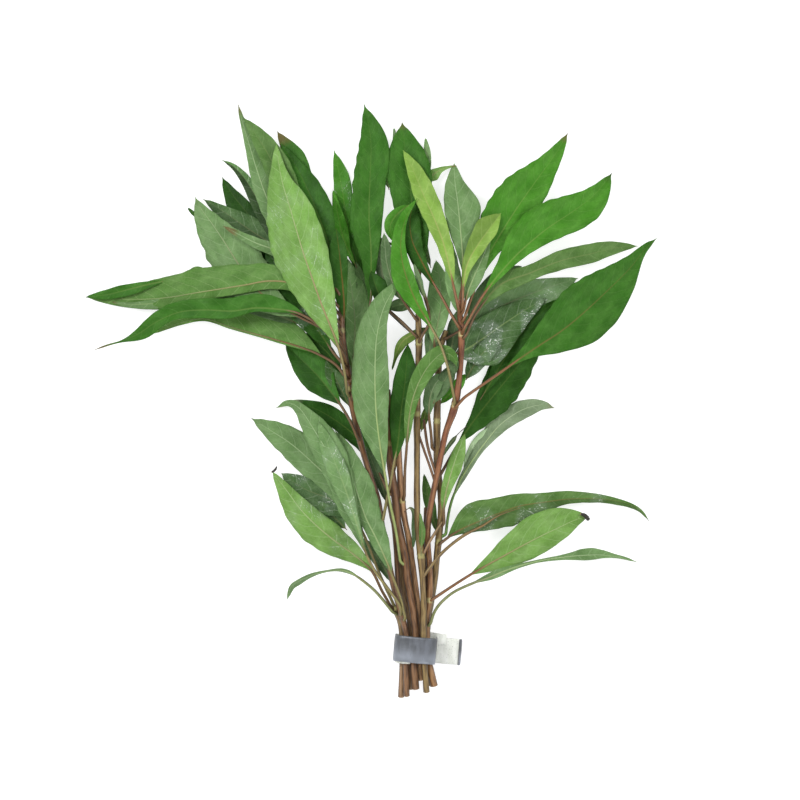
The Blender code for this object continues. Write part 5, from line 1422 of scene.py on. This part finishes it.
@dataclass
class StemTube:
    """One stem or bare stalk: a furrowed tube along its axis, swollen and ringed at its joints."""

    route: StemRoute
    around: int = 20
    furrows: float = 4.0
    furrow_depth: float = 0.035
    unevenness: float = 0.035
    joint_swell: float = 0.16
    joint_height: float = 8.0
    joint_reach: float = 5.0
    no_joint: float = 1e3
    cut_reach: float = 0.25
    end_reach: float = 0.3
    # Rings of a rounded end: share of the radius, and of the way back to the last full ring
    end_rings: Points = ((1.0, 1.0), (0.82, 0.6), (0.5, -0.4), (0.12, -0.8))

    def axis(self) -> np.ndarray:
        """Return the axis as rows of x, y, height and radius, in millimetres."""
        rows = []
        for point in self.route.axis:
            radius = point[3] if len(point) > 3 else self.route.radius
            rows.append((*table_point(point, point[2]), point[2], radius))
        rows = np.array(rows)
        length = np.linalg.norm(np.diff(rows[:, :2], axis=0), axis=1).sum()
        return smooth_route(rows, int(length / AXIS_STEP))

    def joint_distance(self, axis: np.ndarray, length: np.ndarray) -> np.ndarray:
        """Return each ring's distance from the nearest joint, in millimetres."""
        near = np.full(len(axis), self.no_joint)
        for joint in self.route.joints:
            place = np.array(table_point(joint, self.joint_height))
            k = int(np.linalg.norm(axis[:, :2] - place, axis=1).argmin())
            near = np.minimum(near, np.abs(length - length[k]))
        return near

    def build(self, finishes: Finishes) -> str:
        """Build the stem or stalk, over its solid if it has one.

        Args:
            finishes: The maker of materials.

        Returns:
            The piece's name.
        """
        axis = self.axis()
        along = unit(np.gradient(axis[:, :3], axis=0))
        side = unit(np.cross(UP, along))
        count = len(axis)
        length = np.arange(count) * AXIS_STEP
        near = self.joint_distance(axis, length)
        swell = self.joint_swell * (hump(near, 0.9, 0.35) - 0.6 * hump(near, 0.2, 0.3))
        rng = np.random.default_rng(len(self.route.axis) * 7 + count)
        knots = count // 5 + 2
        uneven = np.interp(length, np.linspace(0, length[-1], knots), rng.normal(0, self.unevenness, knots))
        angle, spokes = tube_spokes(side, np.cross(along, side), self.around)
        furrow = 1.0 + self.furrow_depth * np.cos(self.furrows * angle + 0.6)
        radius = (axis[:, 3] * (1.0 + uneven) + swell)[:, None] * furrow
        points = axis[:, None, :3] + spokes * radius[..., None]
        size = paired(length[:, None], (angle * ROUND_STEM)[None])
        shares = paired(np.linspace(0.0, 1.0, count)[:, None],
                        np.tile(np.clip(near / self.joint_reach, 0.0, 1.0)[:, None], (1, self.around + 1)))
        skin = Skin()
        skin.add_grid(points, size, shares, 0)
        bottom, top = axis[0, :3] - along[0] * self.cut_reach, axis[-1, :3] + along[-1] * self.end_reach
        for k, centre, slot in ((0, bottom, 1), (count - 1, top, 0)):
            rim, back = points[k] - axis[k, :3], axis[k, :3] - centre
            rings = np.stack([centre + rim * width + back * width * share for width, share in self.end_rings])
            flat = np.stack([rings[..., 0] - centre[0], rings[..., 2] - centre[2]], axis=-1)
            skin.add_grid(rings, flat, np.zeros_like(flat), slot, flip=(k == 0))
            loop = list(range(skin.count - self.around - 1, skin.count - 1))
            skin.add_faces([tuple(loop[::-1] if k == 0 else loop)], slot)
        return place_piece(skin, self.route.name, [finishes.bark(self.route.bark), finishes.cut_end],
                           self.route.slot_of)


@dataclass(frozen=True)
class Midline:
    """A leaf's middle line from the stalk's base to the tip, in millimetres and in shares."""

    plan: np.ndarray
    heights: np.ndarray
    side: np.ndarray
    length: np.ndarray
    start: float
    share: np.ndarray
    blade: np.ndarray
    opened: np.ndarray


@dataclass
class LeafBlade:
    """One leaf: a thin veined blade, and the stalk that runs on as its midrib."""

    route: LeafRoute
    stations: int = 116
    columns: int = 8
    half_sheet: float = 0.13
    wave: float = 0.3
    pillow: float = 0.1
    joint_points: int = 8
    stalk_around: int = 9
    # The blade is tucked in along the stalk, and narrows once more at its very tip
    stalk_tuck: float = 0.55
    tip_tuck: float = 0.75
    # Wave lengths of the edge's ripple, over 2 pi, and how strong each may be
    ripples: tuple[float, ...] = (0.9, 1.4, 2.3, 3.6)
    ripple: float = 0.012
    # Columns beside the midrib: distance from it at most, and share of the half width at most
    inner_columns: Points = ((0.0, 0.0), (0.35, 0.22), (0.8, 0.4))
    # Radius of the stalk and midrib: at the base, where the blade starts, a little on, and at the tip
    stalk_radii: tuple[float, ...] = (0.62, 0.56, 0.34, 0.08)

    def solid_heights(self) -> np.ndarray:
        """Return the heights of the midrib at the solid's own stations, read from it."""
        share = np.linspace(0.0, 1.0, CAD_STATIONS)
        if self.route.heights:
            return np.interp(share, np.linspace(0.0, 1.0, len(self.route.heights)), self.route.heights)
        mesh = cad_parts[self.route.name].data
        faces = [tuple(p.vertices) for p in mesh.polygons]
        tree = BVHTree.FromPolygons([v.co for v in mesh.vertices], faces)
        route = smooth_route(self.route.midrib, CAD_STATIONS)
        blade = np.clip((share - self.route.petiole) / STALK_TO_BLADE, 0.0, 1.0)
        thick = PETIOLE_RADIUS + (BLADE_HALF_THICKNESS - PETIOLE_RADIUS) * blade
        pixels = [0.9 * route[0] + 0.1 * route[1], *route[1:-1], 0.9 * route[-1] + 0.1 * route[-2]]
        heights = []
        for pixel, half in zip(pixels, thick):
            height = FIRST_HEIGHT
            for _ in range(HEIGHT_ROUNDS):
                x, y = table_point(pixel, height)
                start = Vector((x * MM, y * MM, 0.2))
                hit = tree.ray_cast(start, Vector((0.0, 0.0, -1.0)))[0]
                if hit is None:
                    hit = tree.find_nearest(Vector((x * MM, y * MM, height * MM)))[0]
                height = hit.z / MM - half
            heights.append(height)
        return np.array(heights)

    def midline(self) -> Midline:
        """Return the leaf's middle line, at the heights of its solid."""
        petiole = self.route.petiole
        share = np.linspace(0.0, 1.0, self.stations)
        stations = np.linspace(0.0, 1.0, CAD_STATIONS)
        line = smooth_route(np.column_stack([stations, np.zeros(CAD_STATIONS), self.solid_heights()]), 400)
        heights = np.interp(share, line[:, 0], line[:, 2])
        pixels = smooth_route(self.route.midrib, self.stations)
        plan = np.array([table_point(pixel, height) for pixel, height in zip(pixels, heights)])
        forward = unit(np.gradient(plan, axis=0))
        length = distance_along(plan)
        return Midline(
            plan, heights, np.column_stack([-forward[:, 1], forward[:, 0]]), length,
            np.interp(petiole, share, length), share, np.clip((share - petiole) / (1.0 - petiole), 0.0, 1.0),
            fade(share, petiole - 0.02, petiole + STALK_TO_BLADE))

    def edge_width(self, values: tuple[float, ...], share: np.ndarray) -> np.ndarray:
        """Return the solid's half width on one side at each share of the route."""
        petiole = self.route.petiole
        steps = np.linspace(0.0, 1.0, len(values) + 2)
        knots = np.concatenate([[PETIOLE_RADIUS], values, [TIP_HALF_WIDTH]])
        blade = np.clip((share - petiole) / (1.0 - petiole), 0.0, 1.0)
        curve = smooth_route(np.column_stack([steps, knots]), 200)
        return np.maximum(np.interp(blade, curve[:, 0], curve[:, 1]), TIP_HALF_WIDTH)

    def half_blade(self, line: Midline, turn: float,
                   rng: np.random.Generator) -> list[tuple[np.ndarray, ...]]:
        """Return one half's columns, from the midrib to the edge.

        Args:
            line: The leaf's middle line.
            turn: 1 for the left half, -1 for the right one.
            rng: The leaf's own random numbers.

        Returns:
            For each column, at every station: distance to the left of the midrib, share of the half
            width, share of the whole width and height over the midrib.
        """
        width = self.edge_width(self.route.left if turn > 0 else self.route.right, line.share)
        width = width - self.stalk_tuck * (1.0 - line.opened)
        ripple = sum(rng.normal(0.0, self.ripple) * np.sin(line.length / scale + rng.uniform(0, FULL_TURN))
                     for scale in self.ripples)
        width = width * (1.0 + ripple * line.opened) * (1.0 - self.tip_tuck * fade(line.share, 0.96, 1.0))
        slope = self.route.fold - turn * self.route.roll
        phase = rng.uniform(0, FULL_TURN)
        sway = self.wave * (np.sin(line.length / 2.4 + phase) + 0.6 * np.sin(line.length / 1.3 + 2.0 * phase))
        inner = [np.minimum(most, width * part) for most, part in self.inner_columns]
        outer = self.columns + 1 - len(inner)
        aways = inner + [inner[-1] + (width - inner[-1]) * step / outer for step in range(1, outer + 1)]
        columns = []
        for away in aways:
            v = away / np.maximum(width, 1e-6)
            rise = line.opened * slope * away + line.opened * sway * v**2
            lean = away * (VEIN_SLANT + VEIN_BEND * away)
            vein = (line.length - line.start - lean) / VEIN_SPACING + (VEIN_STAGGER if turn > 0 else 0.0)
            puff = self.pillow * line.opened * np.cos(2.0 * math.pi * vein) * v * (1.0 - v) * 3.0
            columns.append((turn * away, v, 0.5 + 0.5 * turn * v, rise + puff))
        return columns

    def build(self, finishes: Finishes, axes: dict[str, np.ndarray]) -> str:
        """Build the leaf, over its solid if it has one.

        Args:
            finishes: The maker of materials.
            axes: Each stem's axis, for the stalk to spring from.

        Returns:
            The piece's name.
        """
        route = self.route
        rng = np.random.default_rng(sum(map(ord, route.name)))
        line = self.midline()
        left, right = [self.half_blade(line, turn, rng) for turn in (1.0, -1.0)]
        away, v, across, rise = [np.stack(values, axis=1) for values in zip(*(left[::-1] + right[1:]))]
        plan = line.plan[:, None] + line.side[:, None] * away[..., None]
        middle = np.concatenate([plan, (line.heights[:, None] + rise)[..., None]], axis=-1)
        sheet = self.half_sheet * (1.0 - 0.45 * v**4) * (0.5 + 0.5 * line.opened)[:, None]
        size = paired((line.length - line.start)[:, None], away)
        share = paired(line.blade[:, None], across)
        skin = Skin()
        top = skin.add_grid(middle + sheet[..., None] * UP, size, share, 0)
        low = skin.add_grid(middle - sheet[..., None] * UP, size, share, 1, flip=True)
        skin.add_rim(top, low, self.stations, 2 * self.columns + 1, 0)
        self.add_stalk(skin, line, axes)
        tone = route.look.tone
        other = Tone.UPPER_MID if tone.under else Tone.UNDER_PALE
        materials = [finishes.leaf(route.look, tone), finishes.leaf(Look(other), other),
                     finishes.stalk(route.look)]
        return place_piece(skin, route.name, materials, route.slot_of)

    def add_stalk(self, skin: Skin, line: Midline, axes: dict[str, np.ndarray]) -> None:
        """Add the stalk, from inside its stem to the blade, and the midrib that it turns into.

        Args:
            skin: The leaf's points and faces so far.
            line: The leaf's middle line.
            axes: Each stem's axis.
        """
        petiole = self.route.petiole
        sunk = 0.3 if self.route.look.tone.under else -0.85
        radius = np.interp(line.share, [0.0, petiole, petiole + 0.12, 1.0], self.stalk_radii)
        if not self.route.stem:
            radius = np.maximum(radius * 0.3, 0.06)
        centre = np.column_stack([line.plan, line.heights])
        base, onward = centre[0].copy(), centre[2] - centre[0]
        across = np.array([centre[1, 1] - base[1], base[0] - centre[1, 0], 0.0])
        centre[:, 2] += fade(line.share, petiole, petiole + 0.1) * sunk * radius
        length, blade = line.length - line.start, line.blade
        if self.route.stem in axes:
            axis = axes[self.route.stem]
            distance = np.linalg.norm(axis[:, :3] - base, axis=1)
            nearest = int(distance.argmin())
            below = max(nearest - int(1.3 * float(distance[nearest]) / AXIS_STEP), 2)
            root, rise = axis[below, :3], unit(axis[below, :3] - axis[below - 2, :3])
            pull = float(np.linalg.norm(base - root))
            run = np.linspace(0.0, 1.0, self.joint_points, endpoint=False)
            t = run[:, None]
            joint = ((2 * t**3 - 3 * t**2 + 1) * root + (t**3 - 2 * t**2 + t) * rise * pull
                     + (3 * t**2 - 2 * t**3) * base + (t**3 - t**2) * unit(onward) * pull)
            centre = np.vstack([joint, centre])
            thick = min(0.8, 0.7 * axis[below, 3])
            radius = np.concatenate(
                [np.linspace(thick, radius[0], self.joint_points, endpoint=False), radius])
            length = np.concatenate(
                [length[0] - np.linspace(pull, 0.0, self.joint_points, endpoint=False), length])
            blade = np.concatenate([np.zeros(self.joint_points), blade])
        along = unit(np.gradient(centre, axis=0))
        side = [unit(np.cross(UP if abs(along[0, 2]) < 0.9 else across, along[0]))]
        for k in range(1, len(along)):
            side.append(unit(side[-1] - along[k] * (side[-1] @ along[k])))
        side = np.array(side)
        around = self.stalk_around
        angle, spokes = tube_spokes(side, np.cross(along, side), around)
        size = paired(length[:, None], (angle * ROUND_STALK)[None])
        shares = paired(blade[:, None], np.zeros(around + 1)[None])
        first = skin.add_grid(centre[:, None] + spokes * radius[:, None, None], size, shares, 2)
        skin.add_faces([tuple(range(first, first + around))[::-1],
                        tuple(range(skin.count - around - 1, skin.count - 1))], 2)


@dataclass
class MetalStrip:
    """The soft metal strip: a bent band with rounded edges, its inner end and its turned-up tail."""

    width: float = 10.4
    thickness: float = 0.8
    turn: float = -5.0
    lip: float = 0.22
    across: int = 16
    inner_thickness: float = 0.3
    profile: Points = (
        (17.6, 2.3), (18.2, 1.5), (17.9, 0.8), (16.9, 0.4), (9.5, 0.4), (2.0, 0.4), (-5.4, 0.4),
        (-7.0, 0.8), (-7.9, 1.8), (-8.1, 3.2), (-8.1, 5.2), (-7.6, 6.9), (-6.3, 8.1), (-4.4, 8.9),
        (-1.0, 9.8), (3.0, 10.4), (5.4, 10.4), (7.0, 9.8), (7.9, 8.7), (8.1, 7.0), (8.1, 4.4), (8.2, 1.9),
    )
    tucked: Points = ((2.0, 1.05), (6.0, 1.05), (9.5, 1.1), (12.2, 1.0))
    under: Points = ((-7.2, 1.3), (-7.5, 2.6), (-7.3, 4.2), (-6.4, 5.6), (-4.5, 6.6), (-1.5, 7.4))

    def band(self, skin: Skin, line: np.ndarray, skew: np.ndarray, thickness: float, width: float,
             slots: tuple[int, int]) -> None:
        """Add one band with thickness and rounded edges.

        Args:
            skin: Where to add it.
            line: Its middle line as rows of x and z.
            skew: How far it is shifted along y at each row.
            thickness: Its thickness.
            width: Its width.
            slots: Numbers of the finishes of its outer and inner face.
        """
        along = unit(np.gradient(line, axis=0))
        normal = np.column_stack([-along[:, 1], along[:, 0]])
        length = distance_along(line)
        v = np.linspace(-1.0, 1.0, self.across + 1)
        dent = 0.06 * np.sin(length[:, None] * 0.9 + 2.0 * v) * np.cos(3.0 * v + length[:, None] * 0.31)
        half = 0.5 * thickness * np.sqrt(1.0 - 0.75 * np.abs(v) ** 10)
        dent = dent + self.lip * fade(v, 0.62, 0.86) * fade(line[:, 1], 6.0, 9.0)[:, None]
        y = 0.5 * width * v + skew[:, None] + 0.05 * np.sin(length * 0.7)[:, None]
        size = paired(length[:, None], 0.5 * width * v[None])
        shares = paired(length[:, None] / length[-1], 0.5 + 0.5 * v[None])
        first = []
        for sign, slot in ((1.0, slots[0]), (-1.0, slots[1])):
            off = sign * half[None] + dent
            grid = np.stack([line[:, None, 0] + normal[:, None, 0] * off, y,
                             line[:, None, 1] + normal[:, None, 1] * off], axis=-1)
            first.append(skin.add_grid(grid, size, shares, slot, flip=(sign > 0)))
        skin.add_rim(first[1], first[0], len(line), self.across + 1, 2)

    def build(self, finishes: Finishes) -> str:
        """Build the strip over its solid.

        Args:
            finishes: The maker of materials.

        Returns:
            The piece's name.
        """
        skin = Skin()
        line = smooth_route(self.profile, 110)
        self.band(skin, line, np.zeros(len(line)), self.thickness, self.width, (0, 1))
        for points, count, skew, width in ((self.tucked, 24, (5.0, 4.4), 4.4),
                                           (self.under, 20, (-3.9, -3.6), 4.6)):
            self.band(skin, smooth_route(points, count), np.linspace(*skew, count), self.inner_thickness,
                      width, (1, 1))
        angle = math.radians(self.turn)
        spin = np.array([[math.cos(angle), -math.sin(angle), 0.0], [math.sin(angle), math.cos(angle), 0.0],
                         [0.0, 0.0, 1.0]])
        skin.points = [part @ spin.T for part in skin.points]
        outer = finishes.plain("strip_outer", srgb(92, 95, 99), srgb(112, 116, 124), 0.36, 0.5,
                               painted_highlight=srgb(150, 156, 166))
        inner = finishes.plain("strip_inner", srgb(218, 221, 212), srgb(236, 238, 232), 0.6, specks=0.6)
        edge = finishes.plain("strip_edge", srgb(96, 98, 100), srgb(140, 142, 144), 0.5, 0.4)
        return place_piece(skin, "metal_strip", [outer, inner, edge])


@dataclass
class Studio:
    """White table, soft light and the camera straight above."""

    sensor: float = 36.0
    table_size: float = 4.0
    table_drop: float = 0.2
    table_colour: Colour = (0.5, 0.5, 0.5)
    glow: float = 0.72
    horizon: float = 0.55
    sky_low: float = 0.85
    sky_high: float = 0.28
    box_size: float = 0.5
    # Each soft box: its place from the middle of the picture, in metres, and its power
    boxes: tuple[tuple[str, tuple[float, float, float], float], ...] = (
        ("softbox_left", (-0.66, 0.42, 0.95), 8.5), ("softbox_right", (0.78, 0.25, 0.85), 4.0),
        ("softbox_front", (0.05, -0.75, 0.9), 2.5))

    def add_table(self, scene: bpy.types.Scene) -> None:
        """Add the white table that the bunch lies on."""
        half = 0.5 * self.table_size
        mesh = bpy.data.meshes.new("table_top")
        corners = [(-half, -half, 0), (half, -half, 0), (half, half, 0), (-half, half, 0)]
        mesh.from_pydata(corners, [], [(0, 1, 2, 3)])
        material = bpy.data.materials.new("table_white")
        material.use_nodes = True
        shader = material.node_tree.nodes["Principled BSDF"]
        for key, value in (("Base Color", (*self.table_colour, 1.0)), ("Roughness", 0.9),
                           ("Specular IOR Level", 0.0), ("Emission Color", (1.0, 1.0, 1.0, 1.0)),
                           ("Emission Strength", self.glow)):
            shader.inputs[key].default_value = value
        mesh.materials.append(material)
        table = bpy.data.objects.new("table_top", mesh)
        table.location.z = -self.table_drop * MM
        scene.collection.objects.link(table)

    def add_sky(self, scene: bpy.types.Scene) -> None:
        """Add the light all round, brighter near the horizon than overhead."""
        world = bpy.data.worlds.new("studio")
        world.use_nodes = True
        w = Wiring(world.node_tree)
        split = w.node("ShaderNodeSeparateXYZ")
        w.put(split.inputs[0], w.node("ShaderNodeTexCoord").outputs["Generated"])
        height = w.fill(w.node("ShaderNodeMapRange"),
                        (split.outputs[2], self.horizon, 1.0, self.sky_low, self.sky_high))
        background = world.node_tree.nodes["Background"]
        w.put(background.inputs["Color"], (1.0, 1.0, 1.0))
        w.put(background.inputs["Strength"], height.outputs[0])
        scene.world = world

    def build(self) -> None:
        """Build the table, the lights and the camera."""
        scene = bpy.context.scene
        scene.view_settings.view_transform = "Standard"
        self.add_table(scene)
        self.add_sky(scene)
        middle = Vector((*table_point(CENTRE_PIXEL, 0.0), 0.0)) * MM
        for name, offset, power in self.boxes:
            light = bpy.data.lights.new(name, "AREA")
            light.shape = "SQUARE"
            light.size = self.box_size
            light.energy = power
            lamp = bpy.data.objects.new(name, light)
            lamp.location = middle + Vector(offset)
            lamp.rotation_euler = (middle - lamp.location).to_track_quat("-Z", "Y").to_euler()
            scene.collection.objects.link(lamp)
        lens = bpy.data.cameras.new("camera")
        lens.sensor_width = self.sensor
        lens.lens = self.sensor * CAMERA_HEIGHT / (PHOTO_WIDTH * MM_PER_PIXEL)
        camera = bpy.data.objects.new("camera", lens)
        camera.location = (middle.x, middle.y, CAMERA_HEIGHT * MM)
        scene.collection.objects.link(camera)
        scene.camera = camera


def main() -> None:
    """Dress the bunch piece by piece: the strip, the stems, the bare stalks, then the leaves."""
    logging.basicConfig(level=logging.INFO, format="%(message)s")
    Studio().build()
    finishes = Finishes()
    LOG.info("built %s", MetalStrip().build(finishes))
    for route in STEM_ROUTES + BARE_STALKS:
        LOG.info("built %s", StemTube(route).build(finishes))
    axes = {route.name: StemTube(route).axis() for route in STEM_ROUTES}
    for route in LEAF_ROUTES:
        LOG.info("built %s", LeafBlade(route).build(finishes, axes))
    for route in SMALL_LEAVES:
        LOG.info("built %s", LeafBlade(route, stations=80, columns=6).build(finishes, axes))


if __name__ == "__main__":
    main()
